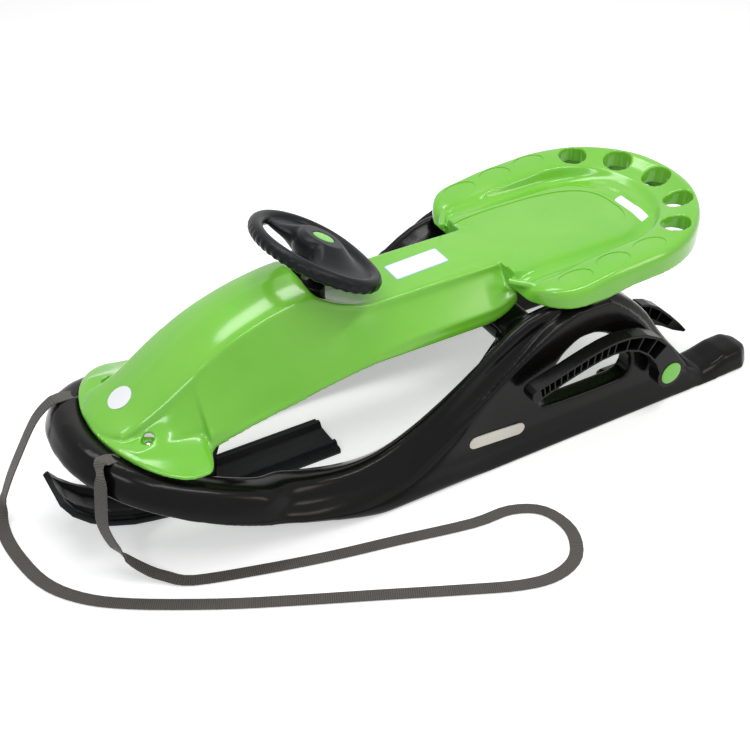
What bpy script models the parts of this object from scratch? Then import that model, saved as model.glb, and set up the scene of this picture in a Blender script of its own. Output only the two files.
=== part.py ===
"""A child's steerable snow sled.

A black moulded frame (front hoop, two runners, arched arms) carries a green moulded body with
a hood, a flat seat and a raised grip rim. A steering wheel turns a front ski, a brake lever on
each side digs a claw into the snow, and a webbing tow strap is tied to the nose.

Metres, +Z up. The nose points along -X, the rider's left is -Y. The origin is on the ground at
the middle of the sled. Pieces that come in left and right pairs are drawn for the left side
(y below zero) and turned over to the right.
"""

import math

import bmesh
import bpy
import numpy as np
from mathutils import Matrix, Vector

# Overall
HALF_LENGTH = 0.598
HOOP_HALF_WIDTH = 0.202
GAP = 0.0003
SKIN = 0.0036

# Hoop: the plan of its lower outer edge, and how it rises to the nose
HOOP_BACK_X = -0.295
HOOP_FRONT_X = -0.579
HOOP_POWER = 2.25
HOOP_RISE = 0.160
HOOP_LIFT_X = -0.158
HOOP_RISE_POWER = 1.118

# Runners and side frames
RUNNER_WIDTH = 0.070
RUNNER_TOP = 0.066
TAIL_TOP = 0.038
TAIL_DIP = 0.024
TAIL_X = 0.480
SHIN_TOP_Z = 0.2725
ARM_SLIM = 0.006
WEB_OUTER = HOOP_HALF_WIDTH - 0.0085
WEB_THICKNESS = 0.033
BRIDGE_X = (0.104, 0.170)
BRIDGE_Z = (0.168, 0.1995)
REAR_FOOT_Z = 0.004
FOOT_X = (0.202, 0.245)
FOOT_WIDTH = 0.0455
MEMBER_WIDTH = 0.0518
MEMBER_DEPTH = 0.040
SCOOP_X = (0.140, 0.296)
SCOOP_DEPTH = 0.046
OVERRUN = 0.012

# Body: hood, deck and rim
NOSE_X = -0.5226
NOSE_FLAT = 0.0007
NOSE_SOLID_X = -0.496
NOSE_MIDDLE_X = -0.4267
NOSE_HALF_WIDTH = 0.1534
NOSE_POWER = 1.886
DASH_X = -0.190
DECK_Z = 0.280
DECK_STEP = 0.0007
DECK_HALF_WIDTH = 0.093
SKIRT_HALF_WIDTH = 0.100
SKIRT_END_X = 0.145
RIM_CENTRE_X = 0.3380
RIM_OUTER = HOOP_HALF_WIDTH - 0.0120
RIM_INNER = 0.1265
RIM_FRONT_X = 0.138
RIM_BOTTOM_Z = 0.248
HOLE_DIAMETER = 0.047
HOLE_RADIUS = RIM_OUTER - 0.0330
HOLE_RODS_Z = (0.22, 0.34)
HOLE_WALL = 0.003
HOLE_WALL_Z = 0.2785
HOLE_ANGLES = (0.0, 29.5, 58.0)
SCREW_X = -0.462
SCREW_Y = 0.0775
SCREW_FLOOR_Z = 0.1810

# Steering
AXIS_TILT = 27.7
RING_CENTRE = (-0.149, 0.356)
RING_SHAPE = (0.0954, 0.0045, -0.0100, -0.0032)
RING_SHIFT = -0.011
RING_TUBE = 0.0112
HUB_RISE = 0.0235
SHAFT_RADIUS = 0.008
SHAFT_END_Z = 0.112
CAP_RADIUS = 0.017
COLLAR_Z = (0.270, 0.319)
COLLAR_X = -0.168
COLLAR_HALF_WIDTH = 0.040
COLLAR_REACH = 0.021
SKI_HALF_WIDTH = 0.044
SKI_TAIL_X = -0.142
SKI_THICKNESS = 0.014
SKI_CHANNEL = 0.60

# Brakes
PIVOT_X = 0.368
PIVOT_Z = 0.0865
AXLE_RADIUS = 0.007
LEVER_INNER = HOOP_HALF_WIDTH + 0.0035
LEVER_WIDTH = 0.0235
CLAW_OUTER = HOOP_HALF_WIDTH - RUNNER_WIDTH - 0.0055
CLAW_WIDTH = 0.021
BRAKE_CAP_RADIUS = 0.0195
BUSH_WALL = 0.0045
BUSH_PLAY = 0.001
BOSS_RADIUS = 0.0185

# Strap and small parts
STRAP_WIDTH = 0.020
STRAP_THICKNESS = 0.002
BADGE_RADIUS = 0.0195
PLATE_LENGTH = 0.1035
PLATE_HEIGHT = 0.0215
PLATE_CENTRE = (0.0520, 0.0634)
PLATE_SLOPE = -4.0
PLATE_PROUD = 0.0023
SCREW_RADIUS = 0.0062

GREEN = (0.13, 0.52, 0.04, 1.0)
BLACK = (0.018, 0.017, 0.017, 1.0)
BLUE_BLACK = (0.022, 0.024, 0.030, 1.0)
STEEL = (0.62, 0.62, 0.60, 1.0)
BEIGE = (0.74, 0.71, 0.64, 1.0)
WEBBING = (0.11, 0.10, 0.09, 1.0)
WHITE = (0.82, 0.84, 0.86, 1.0)


# Scene and materials


def clear_scene():
    """Remove every object, so that the script can be run again in the same file."""
    for old in list(bpy.data.objects):
        bpy.data.objects.remove(old, do_unlink=True)
    for old in list(bpy.data.collections):
        bpy.data.collections.remove(old)


clear_scene()
PARTS = bpy.data.collections.new("snow_sled")
CUTTERS = bpy.data.collections.new("cutters")
bpy.context.scene.collection.children.link(PARTS)
bpy.context.scene.collection.children.link(CUTTERS)


def material(name, colour, roughness, metallic=0.0):
    """A Principled material of one colour."""
    made = bpy.data.materials.new(name)
    made.use_nodes = True
    shader = made.node_tree.nodes["Principled BSDF"]
    shader.inputs["Base Color"].default_value = colour
    shader.inputs["Roughness"].default_value = roughness
    shader.inputs["Metallic"].default_value = metallic
    return made


# Objects


def new_object(name, mesh, collection=CUTTERS):
    made = bpy.data.objects.new(name, mesh)
    collection.objects.link(made)
    return made


def keep(piece, name, colour, roughness, metallic=0.0):
    """Give a finished piece its name and material, and put it among the parts."""
    piece.name = name
    piece.data.name = name
    piece.data.materials.clear()
    piece.data.materials.append(material(name, colour, roughness, metallic))
    for holder in list(piece.users_collection):
        holder.objects.unlink(piece)
    PARTS.objects.link(piece)
    piece.data.shade_smooth()
    piece.data.set_sharp_from_angle(angle=math.radians(35))
    return piece


def finished(piece):
    """The piece with its modifiers applied, as a plain mesh in world space."""
    bpy.context.view_layer.update()
    graph = bpy.context.evaluated_depsgraph_get()
    mesh = bpy.data.meshes.new_from_object(piece.evaluated_get(graph))
    mesh.transform(piece.matrix_world)
    made = new_object(piece.name + "_done", mesh)
    bpy.data.objects.remove(piece, do_unlink=True)
    return made


def weld(piece, distance=0.00002):
    work = bmesh.new()
    work.from_mesh(piece.data)
    bmesh.ops.remove_doubles(work, verts=work.verts, dist=distance)
    bmesh.ops.dissolve_degenerate(work, edges=work.edges, dist=distance)
    bmesh.ops.recalc_face_normals(work, faces=work.faces)
    work.to_mesh(piece.data)
    work.free()
    return piece


def boolean(piece, other, operation, solver="EXACT"):
    """Cut, or join, one piece with another, which is used up."""
    step = piece.modifiers.new(operation.lower(), "BOOLEAN")
    step.operation = operation
    step.solver = solver
    step.object = other
    piece = finished(piece)
    bpy.data.objects.remove(other, do_unlink=True)
    return weld(piece)


def cut(piece, *cutters):
    for cutter in cutters:
        piece = boolean(piece, cutter, "DIFFERENCE")
    return piece


def join(piece, *others):
    for other in others:
        piece = boolean(piece, other, "UNION")
    return piece


def other_side(piece):
    """A copy of the piece turned over the middle plane of the sled."""
    mesh = piece.data.copy()
    mesh.transform(Matrix.Scale(-1.0, 4, (0, 1, 0)))
    return weld(new_object(piece.name + "_right", mesh))


def mirrored_half(piece):
    """A half that is open at the middle plane, closed by its mirror image."""
    step = piece.modifiers.new("mirror", "MIRROR")
    step.use_axis = (False, True, False)
    step.use_mirror_merge = True
    step.merge_threshold = 0.00005
    return weld(finished(piece))


# Shapes


def bevelled(piece, width, segments=2, angle=40):
    step = piece.modifiers.new("edges", "BEVEL")
    step.width = width
    step.segments = segments
    step.limit_method = "ANGLE"
    step.angle_limit = math.radians(angle)
    return weld(finished(piece))


def block(low, high, bevel=0.0):
    """A box between two corners."""
    work = bmesh.new()
    bmesh.ops.create_cube(work, size=1.0)
    size = [high[i] - low[i] for i in range(3)]
    middle = [(high[i] + low[i]) / 2 for i in range(3)]
    bmesh.ops.scale(work, vec=size, verts=work.verts)
    bmesh.ops.translate(work, vec=middle, verts=work.verts)
    mesh = bpy.data.meshes.new("block")
    work.to_mesh(mesh)
    work.free()
    made = new_object("block", mesh)
    return bevelled(made, bevel) if bevel else made


def aimed(start, direction):
    """The matrix that stands local +Z along a direction from a start point."""
    turn = Vector(direction).to_track_quat("Z", "Y")
    return Matrix.Translation(Vector(start)) @ turn.to_matrix().to_4x4()


def rod(start, end, radius, radius_end=None, sides=24):
    """A cylinder or a cone between two points."""
    line = Vector(end) - Vector(start)
    work = bmesh.new()
    bmesh.ops.create_cone(
        work,
        cap_ends=True,
        segments=sides,
        radius1=radius,
        radius2=radius if radius_end is None else radius_end,
        depth=line.length,
    )
    place = aimed((Vector(start) + Vector(end)) / 2, line)
    bmesh.ops.transform(work, matrix=place, verts=work.verts)
    mesh = bpy.data.meshes.new("rod")
    work.to_mesh(mesh)
    work.free()
    return new_object("rod", mesh)


def turned(profile, start, direction, sides=24):
    """A profile of (radius, height) points, top to bottom, turned about an axis."""
    work = bmesh.new()
    points = [work.verts.new((radius, 0.0, height)) for radius, height in profile]
    for first, second in zip(points, points[1:]):
        work.edges.new((first, second))
    mesh = bpy.data.meshes.new("turned")
    work.to_mesh(mesh)
    work.free()
    made = new_object("turned", mesh)
    step = made.modifiers.new("turn", "SCREW")
    step.axis = "Z"
    step.steps = sides
    step.render_steps = sides
    step.use_merge_vertices = True
    step.merge_threshold = 0.00005
    made.matrix_world = aimed(start, direction)
    return weld(finished(made))


def plate(outline, y_low, y_high, holes=()):
    """A flat outline of (x, z) points given a thickness across the sled."""
    curve = bpy.data.curves.new("plate", "CURVE")
    curve.dimensions = "2D"
    curve.fill_mode = "BOTH"
    curve.extrude = (y_high - y_low) / 2
    for loop in (outline, *holes):
        spline = curve.splines.new("POLY")
        spline.points.add(len(loop) - 1)
        for point, (x, z) in zip(spline.points, loop):
            point.co = (x, z, 0.0, 1.0)
        spline.use_cyclic_u = True
    made = new_object("plate", curve)
    made.matrix_world = Matrix.Translation((0, (y_low + y_high) / 2, 0)) @ Matrix.Rotation(
        math.radians(90), 4, "X"
    )
    return weld(finished(made))


def loft(sections, closed=True, caps=True):
    """Faces between sections of equally many points. Closed sections are rings."""
    work = bmesh.new()
    rows = [[work.verts.new(point) for point in section] for section in sections]
    count = len(rows[0])
    for row, after in zip(rows, rows[1:]):
        for i in range(count if closed else count - 1):
            j = (i + 1) % count
            work.faces.new((row[i], row[j], after[j], after[i]))
    if closed and caps:
        work.faces.new(rows[0])
        work.faces.new(rows[-1])
    bmesh.ops.remove_doubles(work, verts=work.verts, dist=0.00002)
    bmesh.ops.recalc_face_normals(work, faces=work.faces)
    mesh = bpy.data.meshes.new("loft")
    work.to_mesh(mesh)
    work.free()
    return new_object("loft", mesh)


# Curves


def through(points, closed=False, steps=4):
    """A smooth curve through hand-chosen points, as a finer list of points."""
    points = [np.array(point, float) for point in points]
    count = len(points)
    fine = []
    for i in range(count if closed else count - 1):
        a = points[(i - 1) % count] if closed or i > 0 else 2 * points[0] - points[1]
        b, c = points[i], points[(i + 1) % count]
        last = 2 * points[-1] - points[-2]
        d = points[(i + 2) % count] if closed or i + 2 < count else last
        for t in np.arange(steps) / steps:
            pull = 2 * b + (c - a) * t + (2 * a - 5 * b + 4 * c - d) * t**2
            fine.append((pull + (3 * b - a - 3 * c + d) * t**3) / 2)
    if not closed:
        fine.append(points[-1])
    return fine


def graph(points):
    """A smooth function through (x, value) points that never overshoots them."""
    xs = np.array([point[0] for point in points], float)
    ys = np.array([point[1] for point in points], float)
    slopes = np.diff(ys) / np.diff(xs)
    rates = np.concatenate(([slopes[0]], (slopes[1:] + slopes[:-1]) / 2, [slopes[-1]]))
    for i in range(1, len(xs) - 1):
        if slopes[i - 1] * slopes[i] <= 0:
            rates[i] = 0.0
        else:
            most = 3 * min(abs(slopes[i - 1]), abs(slopes[i]))
            rates[i] = math.copysign(min(abs(rates[i]), most), slopes[i])

    def value(x):
        x = min(max(x, xs[0]), xs[-1])
        i = min(int(np.searchsorted(xs, x, side="right")) - 1, len(xs) - 2)
        i = max(i, 0)
        width = xs[i + 1] - xs[i]
        t = (x - xs[i]) / width
        low = (1 + 2 * t) * (1 - t) ** 2 * ys[i] + t * (1 - t) ** 2 * width * rates[i]
        high = t * t * (3 - 2 * t) * ys[i + 1] + t * t * (t - 1) * width * rates[i + 1]
        return float(low + high)

    return value


def blend(low, high, x):
    """0 below low, 1 above high, and smooth between."""
    t = min(max((x - low) / (high - low), 0.0), 1.0)
    return t * t * (3 - 2 * t)


# Steering axis

TILT = math.radians(AXIS_TILT)
AXIS = Vector((math.sin(TILT), 0.0, math.cos(TILT)))
WHEEL_CENTRE = Vector((RING_CENTRE[0], 0.0, RING_CENTRE[1]))


def on_axis(z):
    """The point of the steering axis at a height."""
    return WHEEL_CENTRE + AXIS * ((z - WHEEL_CENTRE.z) / AXIS.z)


def across_brake(y):
    """The point of the brakes' axis at a place across the sled."""
    return (PIVOT_X, y, PIVOT_Z)


# Black frame

TUBE_SECTION = (
    (0.000, 0.000), (0.003, 0.005), (0.007, 0.014), (0.012, 0.020), (0.0145, 0.026),
    (0.0135, 0.033), (0.017, 0.043), (0.027, 0.0495), (0.044, 0.0475), (0.062, 0.043),
    (0.074, 0.0385), (0.079, 0.030), (0.077, 0.012), (0.069, 0.001), (0.035, 0.000),
)  # fmt: skip
SHOULDER = (0.017, 0.0385)

arm_ridge_z = graph(
    ((-0.295, 0.0836), (-0.25, 0.0715), (-0.21, 0.067), (-0.175, 0.069), (-0.142, 0.077),
     (-0.105, 0.092), (-0.069, 0.111), (0.008, 0.164), (0.068, 0.204), (0.111, 0.2290),
     (0.150, 0.2385), (0.190, 0.2420), (0.215, 0.2425))
)  # fmt: skip
ARM_STATIONS = (
    (-0.295, -0.295, 0.0830), (-0.250, -0.245, 0.0640), (-0.210, -0.200, 0.0500),
    (-0.175, -0.162, 0.0425), (-0.142, -0.125, 0.0405), (-0.105, -0.085, 0.0490),
    (-0.069, -0.043, 0.0650), (-0.030, -0.003, 0.0870), (0.008, 0.034, 0.1150),
    (0.040, 0.062, 0.1430), (0.068, 0.083, 0.1700), (0.090, 0.098, 0.1880),
    (0.115, 0.116, 0.1990), (0.145, 0.142, 0.2060), (0.175, 0.170, 0.2100),
    (0.205, 0.200, 0.2120),
)  # fmt: skip


def hoop_plan(turn):
    """The hoop's lower outer edge: 0 is the nose, 90 degrees the straight side."""
    across = math.sin(turn) ** (2 / HOOP_POWER)
    along = max(math.cos(turn), 0.0) ** (2 / HOOP_POWER)
    x = HOOP_BACK_X - (HOOP_BACK_X - HOOP_FRONT_X) * along
    return Vector((x, -HOOP_HALF_WIDTH * across, 0.0))


def hoop_height(x):
    reach = max(HOOP_LIFT_X - x, 0.0) / (HOOP_LIFT_X - HOOP_FRONT_X)
    return HOOP_RISE * reach**HOOP_RISE_POWER


def hoop_sections():
    """Rings along the left half of the hoop, from the nose to the straight side."""
    rings = []
    turns = [0, 6, 13, 21, 30, 40, 50, 60, 69, 77, 84]
    for degrees in turns:
        turn = math.radians(degrees)
        here = hoop_plan(turn)
        step = 0.01
        before = hoop_plan(max(turn - step, 0.0))
        run = hoop_plan(turn + step) - before
        if degrees == 0:
            run = Vector((0.0, -1.0, 0.0))
        inward = Vector((0, 0, 1)).cross(run).normalized()
        ring = []
        for u, v in TUBE_SECTION:
            point = here + inward * u
            ring.append(Vector((point.x, point.y, hoop_height(point.x) + v)))
        rings.append(ring)
    return rings


def arm_sections():
    """Rings from the straight side of the hoop up the front of the arm."""
    rings = []
    for ridge_x, inner_x, inner_z in ARM_STATIONS:
        rise = (arm_ridge_z(ridge_x + 0.004) - arm_ridge_z(ridge_x - 0.004)) / 0.008
        tip = min(max(math.atan(rise), -0.3), 0.62)
        up = Vector((-math.sin(tip), 0.0, math.cos(tip)))
        ridge = Vector((ridge_x, -HOOP_HALF_WIDTH + SHOULDER[0], arm_ridge_z(ridge_x)))
        inner = Vector((inner_x + ARM_SLIM * blend(-0.2, -0.05, ridge_x),
                        -HOOP_HALF_WIDTH + 0.074, inner_z))  # fmt: skip
        base = ridge - up * SHOULDER[1]
        ring = []
        for u, v in TUBE_SECTION:
            share = blend(0.012, 0.074, u)
            point = base + Vector((0, u, 0)) + up * v
            swing = inner - (base + Vector((0, 0.074, 0)) + up * 0.0395)
            ring.append(point + Vector((swing.x, 0.0, swing.z)) * share)
        rings.append(ring)
    return rings


def tail_x(share):
    """A place on the tail, by its share of the way from the dip to the very end."""
    return TAIL_X + (HALF_LENGTH - TAIL_X) * share


def runner_sections():
    """Rings along the left runner, from inside the hoop to the rounded tail."""
    top = graph(
        ((-0.345, 0.078), (-0.30, 0.066), (-0.25, 0.052), (-0.20, 0.048), (-0.16, 0.051),
         (-0.12, 0.056), (-0.06, 0.063), (0.0, RUNNER_TOP),
         (0.30, RUNNER_TOP), (0.40, 0.062), (0.445, 0.045), (tail_x(0.06), TAIL_DIP),
         (tail_x(0.30), 0.032), (tail_x(0.51), TAIL_TOP), (HALF_LENGTH, TAIL_TOP + 0.001))
    )  # fmt: skip
    rings = []
    stations = (-0.345, -0.31, -0.27, -0.235, -0.20, -0.158, -0.11, -0.05, 0.03, 0.30,
                0.37, 0.415, 0.45)  # fmt: skip
    stations += tuple(tail_x(share) for share in (0.0, 0.21, 0.47, 0.76, 0.89, 0.966, 1.0))
    for x in stations:
        z = top(x)
        inside = 0.004 * (1 - blend(-0.33, -0.26, x))
        low = hoop_height(x) + inside
        ridge = 0.004 * (1 - blend(-0.06, 0.05, x)) * blend(-0.24, -0.16, x)
        end = blend(tail_x(0.68), HALF_LENGTH, x)
        pinch = 0.5 * end**3 * RUNNER_WIDTH * 0.8
        drop = (end**4) * 0.014
        z -= drop
        low += (end**4) * 0.010
        tall = z - low
        shape = (
            (0.000, 0.0), (-0.001, 0.10), (0.001 - ridge * 0.5, 0.26), (0.003 + ridge, 0.42),
            (0.005 - ridge * 0.3, 0.60), (0.010, 0.86), (0.017, 0.97), (0.028, 1.0),
            (0.052, 1.0), (0.064, 0.95), (0.071, 0.80), (RUNNER_WIDTH, 0.12),
            (0.069, 0.0), (0.035, 0.0),
        )  # fmt: skip
        ring = []
        for u, v in shape:
            middle = RUNNER_WIDTH / 2
            across = middle + (u - middle) * (1 - 2 * pinch / RUNNER_WIDTH)
            lean = 0.0004 + inside
            ring.append(Vector((x, -HOOP_HALF_WIDTH + lean + across, low + tall * v)))
        rings.append(ring)
    return rings


ARM_BACK = (
    (0.225, SHIN_TOP_Z), (0.264, 0.252), (0.309, 0.219), (0.345, 0.183), (0.373, 0.144),
    (0.400, 0.110), (0.425, 0.082), (0.450, 0.052), (0.469, 0.0265),
)  # fmt: skip
OPENING = (
    (0.1315, 0.0930), (0.1404, 0.1214), (0.1555, 0.1570), (0.1758, 0.1805), (0.1972, 0.1930),
    (0.2163, 0.1952), (0.2363, 0.1912), (0.2620, 0.1773), (0.2873, 0.1555), (0.3058, 0.1291),
    (0.3129, 0.1045), (0.3083, 0.0880), (0.2930, 0.0800), (0.2117, 0.0798), (0.1482, 0.0832),
)  # fmt: skip


def web_piece():
    """The side plate between arm and runner, with its opening."""
    front = [(-0.150, 0.020), (-0.095, 0.060), (-0.030, 0.100), (0.035, 0.146)]
    front += [(0.080, 0.180), (0.118, 0.208), (0.150, 0.228), (0.180, 0.240)]
    front += [(0.192, RIM_BOTTOM_Z - 0.004)]
    # The rear edge runs inside the rounded rear member
    rear = [(x - 0.013, min(z - 0.008, RIM_BOTTOM_Z - 0.004))
            for x, z in through(ARM_BACK, steps=2)[1:]]  # fmt: skip
    outline = front + rear + [(rear[-1][0], 0.012), (-0.150, 0.008)]
    hole = through(OPENING, closed=True, steps=2)
    return plate(outline, -WEB_OUTER, -WEB_OUTER + WEB_THICKNESS, [hole])


def arm_back_piece():
    """The rounded rear member of the arm, from the seat down to the runner."""
    edge = through(ARM_BACK, steps=2)
    rings = []
    for i, point in enumerate(edge):
        ahead = edge[min(i + 1, len(edge) - 1)]
        behind = edge[max(i - 1, 0)]
        run = Vector((ahead[0] - behind[0], 0, ahead[1] - behind[1])).normalized()
        inward = Vector((run.z, 0, -run.x))
        depth = MEMBER_DEPTH
        outer = RIM_OUTER - SKIN - 2 * GAP
        inner = outer - MEMBER_WIDTH
        shape = (
            (-outer, 0.010), (0.0025 - outer, 0.003), (0.010 - outer, 0.0), (-inner - 0.0105, 0.0),
            (-inner - 0.0025, 0.003), (-inner, 0.010), (-inner, depth - 0.008),
            (-inner - 0.0045, depth), (0.009 - outer, depth), (-outer, depth - 0.010),
        )  # fmt: skip
        way = (inward + Vector((0, 0, -1)) * (0.5 if i < 2 else 0.0)).normalized()
        top = SHIN_TOP_Z
        ring = []
        for y, d in shape:
            place = Vector((point[0], y, point[1])) + way * d
            place.z = max(min(place.z, top), REAR_FOOT_Z)
            ring.append(place)
        rings.append(ring)
    return loft(rings)


def scoop():
    """The wedge taken off the runner behind the opening, so that light falls through it."""
    top = RUNNER_TOP + 0.008
    outer, inner = WEB_OUTER - 0.010, HOOP_HALF_WIDTH - RUNNER_WIDTH - 0.006
    rings = []
    for x, deep in ((SCOOP_X[0], 0.7), (SCOOP_X[0] + 0.02, 1.0), (SCOOP_X[1] - 0.02, 1.0),
                    (SCOOP_X[1], 0.7)):  # fmt: skip
        floor = RUNNER_TOP + 0.006 - SCOOP_DEPTH * deep
        rings.append([Vector((x, -outer, top)), Vector((x, -outer, top - 0.003)),
                      Vector((x, -inner, floor)), Vector((x, -inner, top))])  # fmt: skip
    return loft(rings)


def name_plate_outline(grow=0.0):
    """The outline of the bare name plate, a bar with round ends."""
    slope = math.radians(PLATE_SLOPE)
    along, up = (math.cos(slope), math.sin(slope)), (-math.sin(slope), math.cos(slope))
    radius = PLATE_HEIGHT / 2 + grow
    half = PLATE_LENGTH / 2 - PLATE_HEIGHT / 2
    points = []
    for side in (1, -1):
        for step in range(7):
            turn = math.radians(-90 + 30 * step)
            u = side * (half + radius * math.cos(turn))
            v = side * radius * math.sin(turn)
            x = PLATE_CENTRE[0] + along[0] * u + up[0] * v
            points.append((x, PLATE_CENTRE[1] + along[1] * u + up[1] * v))
    return points


def bisected(piece):
    """The left side of a piece that runs past the middle plane, and its mirror image."""
    step = piece.modifiers.new("mirror", "MIRROR")
    step.use_axis = (False, True, False)
    step.use_bisect_axis = (False, True, False)
    step.use_bisect_flip_axis = (False, True, False)
    step.use_mirror_merge = True
    step.merge_threshold = 0.00005
    return weld(finished(piece))


def triangulated(piece):
    """The piece in triangles, so that its many-sided faces are read one way only."""
    work = bmesh.new()
    work.from_mesh(piece.data)
    bmesh.ops.triangulate(work, faces=work.faces)
    work.to_mesh(piece.data)
    work.free()
    return piece


def make_frame():
    past = Vector((0.0, OVERRUN, 0.0))
    nose = hoop_sections()
    frame = loft([[point + past for point in nose[0]]] + nose + arm_sections())
    reach = WEB_OUTER - WEB_THICKNESS / 2
    bridge = block((BRIDGE_X[0], -reach, BRIDGE_Z[0]), (BRIDGE_X[1], OVERRUN, BRIDGE_Z[1]), 0.006)
    foot_outer = -RIM_OUTER + 0.0095
    foot = block((FOOT_X[0], foot_outer, 0.225), (FOOT_X[1], foot_outer + FOOT_WIDTH, SHIN_TOP_Z),
                 0.003)  # fmt: skip
    boss_y = (-CLAW_OUTER - 4 * BUSH_PLAY, -LEVER_INNER + 2 * BUSH_PLAY)
    boss = rod(across_brake(boss_y[0]), across_brake(boss_y[1]), BOSS_RADIUS, sides=28)
    # The long slanting joins of the side frame need the manifold solver
    for piece in (loft(runner_sections()), arm_back_piece(), web_piece(), foot, bridge, boss):
        frame = boolean(frame, piece, "UNION", "MANIFOLD")
    bore = rod(across_brake(0.02 - CLAW_OUTER), across_brake(-LEVER_INNER - 0.02),
               AXLE_RADIUS + BUSH_WALL + GAP)  # fmt: skip
    pocket = plate(name_plate_outline(GAP), -WEB_OUTER - 0.06, -WEB_OUTER)
    for cutter in (scoop(), bore, pocket):
        frame = boolean(frame, cutter, "DIFFERENCE", "MANIFOLD")
    frame = triangulated(bisected(frame))
    return keep(frame, "runner_frame", BLACK, 0.32)


# Green body


def nose_edge(x):
    """Half-width of the body's lower edge: nose, flare over the hoop, then the skirt."""
    if x < NOSE_MIDDLE_X:
        reach = (NOSE_MIDDLE_X - x) / (NOSE_MIDDLE_X - NOSE_X)
        return NOSE_HALF_WIDTH * max(1 - reach**NOSE_POWER, 0.0) ** (1 / NOSE_POWER)
    return flare_end(x)


flare_end = graph(
    ((NOSE_MIDDLE_X, NOSE_HALF_WIDTH), (-0.405, 0.152), (-0.396, 0.146), (-0.390, 0.134),
     (-0.385, 0.119), (-0.377, 0.1105), (-0.36, 0.108), (-0.30, 0.104), (-0.20, SKIRT_HALF_WIDTH))
)  # fmt: skip
edge_z = graph(
    ((NOSE_X, 0.1855), (-0.506, 0.1815), (-0.478, 0.1735), (-0.444, 0.1630), (-0.427, 0.158),
     (-0.400, 0.1555), (-0.385, 0.158), (-0.369, 0.161), (-0.299, 0.173), (-0.237, 0.181),
     (-0.171, 0.192), (-0.103, 0.200), (0.0, 0.2005), (0.09, 0.2010), (0.115, 0.2055),
     (0.132, 0.214), (0.145, 0.226))
)  # fmt: skip
crown_z = graph(
    ((NOSE_X, 0.1915), (-0.517, 0.1955), (-0.50, 0.202), (-0.472, 0.213), (-0.45, 0.2265),
     (-0.413, 0.252), (-0.38, 0.274), (-0.334, 0.301), (-0.28, 0.320), (-0.229, 0.331),
     (DASH_X, 0.334), (-0.182, 0.318), (-0.172, 0.302), (-0.155, 0.290), (-0.13, 0.2815),
     (-0.10, 0.278), (0.0, 0.2785), (0.14, DECK_Z - DECK_STEP))
)  # fmt: skip
ridge_z = graph(
    ((NOSE_X, 0.1905), (-0.50, 0.196), (-0.472, 0.204), (-0.45, 0.215), (-0.40, 0.247),
     (-0.35, 0.278), (-0.30, 0.299), (-0.25, 0.313), (DASH_X, 0.321), (-0.175, 0.314),
     (-0.15, 0.299), (-0.12, 0.286), (-0.09, 0.2785), (-0.06, 0.277), (0.0, 0.2775),
     (0.14, 0.2785 - DECK_STEP))
)  # fmt: skip
ridge_y = graph(
    ((-0.46, 0.062), (-0.40, 0.065), (DASH_X, 0.064), (-0.16, 0.070), (-0.12, 0.081),
     (-0.08, 0.089), (-0.03, DECK_HALF_WIDTH), (0.14, DECK_HALF_WIDTH))
)  # fmt: skip
flare_z = graph(
    ((NOSE_X, 0.190), (-0.50, 0.191), (-0.47, 0.189), (-0.43, 0.186), (-0.40, 0.184),
     (-0.375, 0.180), (-0.34, 0.180), (-0.20, 0.202), (0.0, 0.222), (0.10, 0.2225), (0.12, 0.2265),
     (0.132, 0.2325), (0.145, 0.2415))
)  # fmt: skip


def body_section(x):
    """Half a section of the hood and deck at x, from the middle to the lower edge."""
    edge = nose_edge(x)
    low = edge_z(x)
    ridge = min(ridge_y(x), 0.58 * edge)
    top = crown_z(x)
    shoulder = max(ridge_z(x), low + 0.004)
    fall = top - shoulder
    foot_y = min(0.097, 0.80 * edge) if x < -0.38 else edge - 0.004
    foot_z = max(min(flare_z(x), shoulder - 0.002), low + 0.0035)
    nose = blend(-0.47, NOSE_X, x)
    points = [
        (0.0, top),
        (0.42 * ridge, top - 0.20 * fall),
        (0.75 * ridge, top - 0.55 * fall),
        (0.93 * ridge, shoulder + 0.10 * fall + 0.0005),
        (ridge + 0.001, shoulder - 0.0035 * (1 - nose)),
        (ridge + 0.003, shoulder - 0.012 * (1 - nose) - 0.001 * nose),
    ]
    side_y, side_z = points[-1]
    for share in (0.45, 0.85):
        points.append(
            (side_y + (foot_y - side_y) * share**1.1, side_z + (foot_z - side_z) * share)
        )
    points.append((foot_y, foot_z))
    lip = low + 0.0065
    points.append((foot_y + 0.35 * (edge - foot_y), foot_z + 0.50 * (lip - foot_z)))
    points.append((foot_y + 0.80 * (edge - foot_y), lip + 0.0015))
    points.append((edge - 0.0008 * min(edge / 0.02, 1.0), low + 0.0045))
    points.append((edge, low))
    return [Vector((x, -y, z)) for y, z in points]


def body_inside(x):
    """Half a section of the hollow under the hood and deck, a skin's thickness inside."""
    near = [body_section(min(x + shift, SKIRT_END_X)) for shift in (-SKIN, 0.0, SKIN)]
    edge = min(nose_edge(x + shift) for shift in (-SKIN, 0.0, SKIN)) - SKIN
    base = [(min(-row[i].y for row in near), min(row[i].z for row in near)) for i in range(13)]
    # Which outer point each inner one follows, and how far it moves in and down, in skins
    moves = ((0, 0.0, 1.0), (1, 0.0, 1.0), (2, 0.0, 1.05), (3, 0.6, 1.1), (5, 0.9, 0.6),
             (7, 0.8, 0.7), (8, 0.8, 0.9), (9, 0.0, 1.0), (10, 0.0, 1.0))  # fmt: skip
    points = []
    for i, inward, down in moves:
        y, z = base[i]
        points.append((min(max(y - inward * SKIN, 0.0), edge), z - down * SKIN))
    below = edge_z(x) - 0.03
    points += [(edge, below), (0.0, below)]
    return [Vector((x, -y, z)) for y, z in points]


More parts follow.
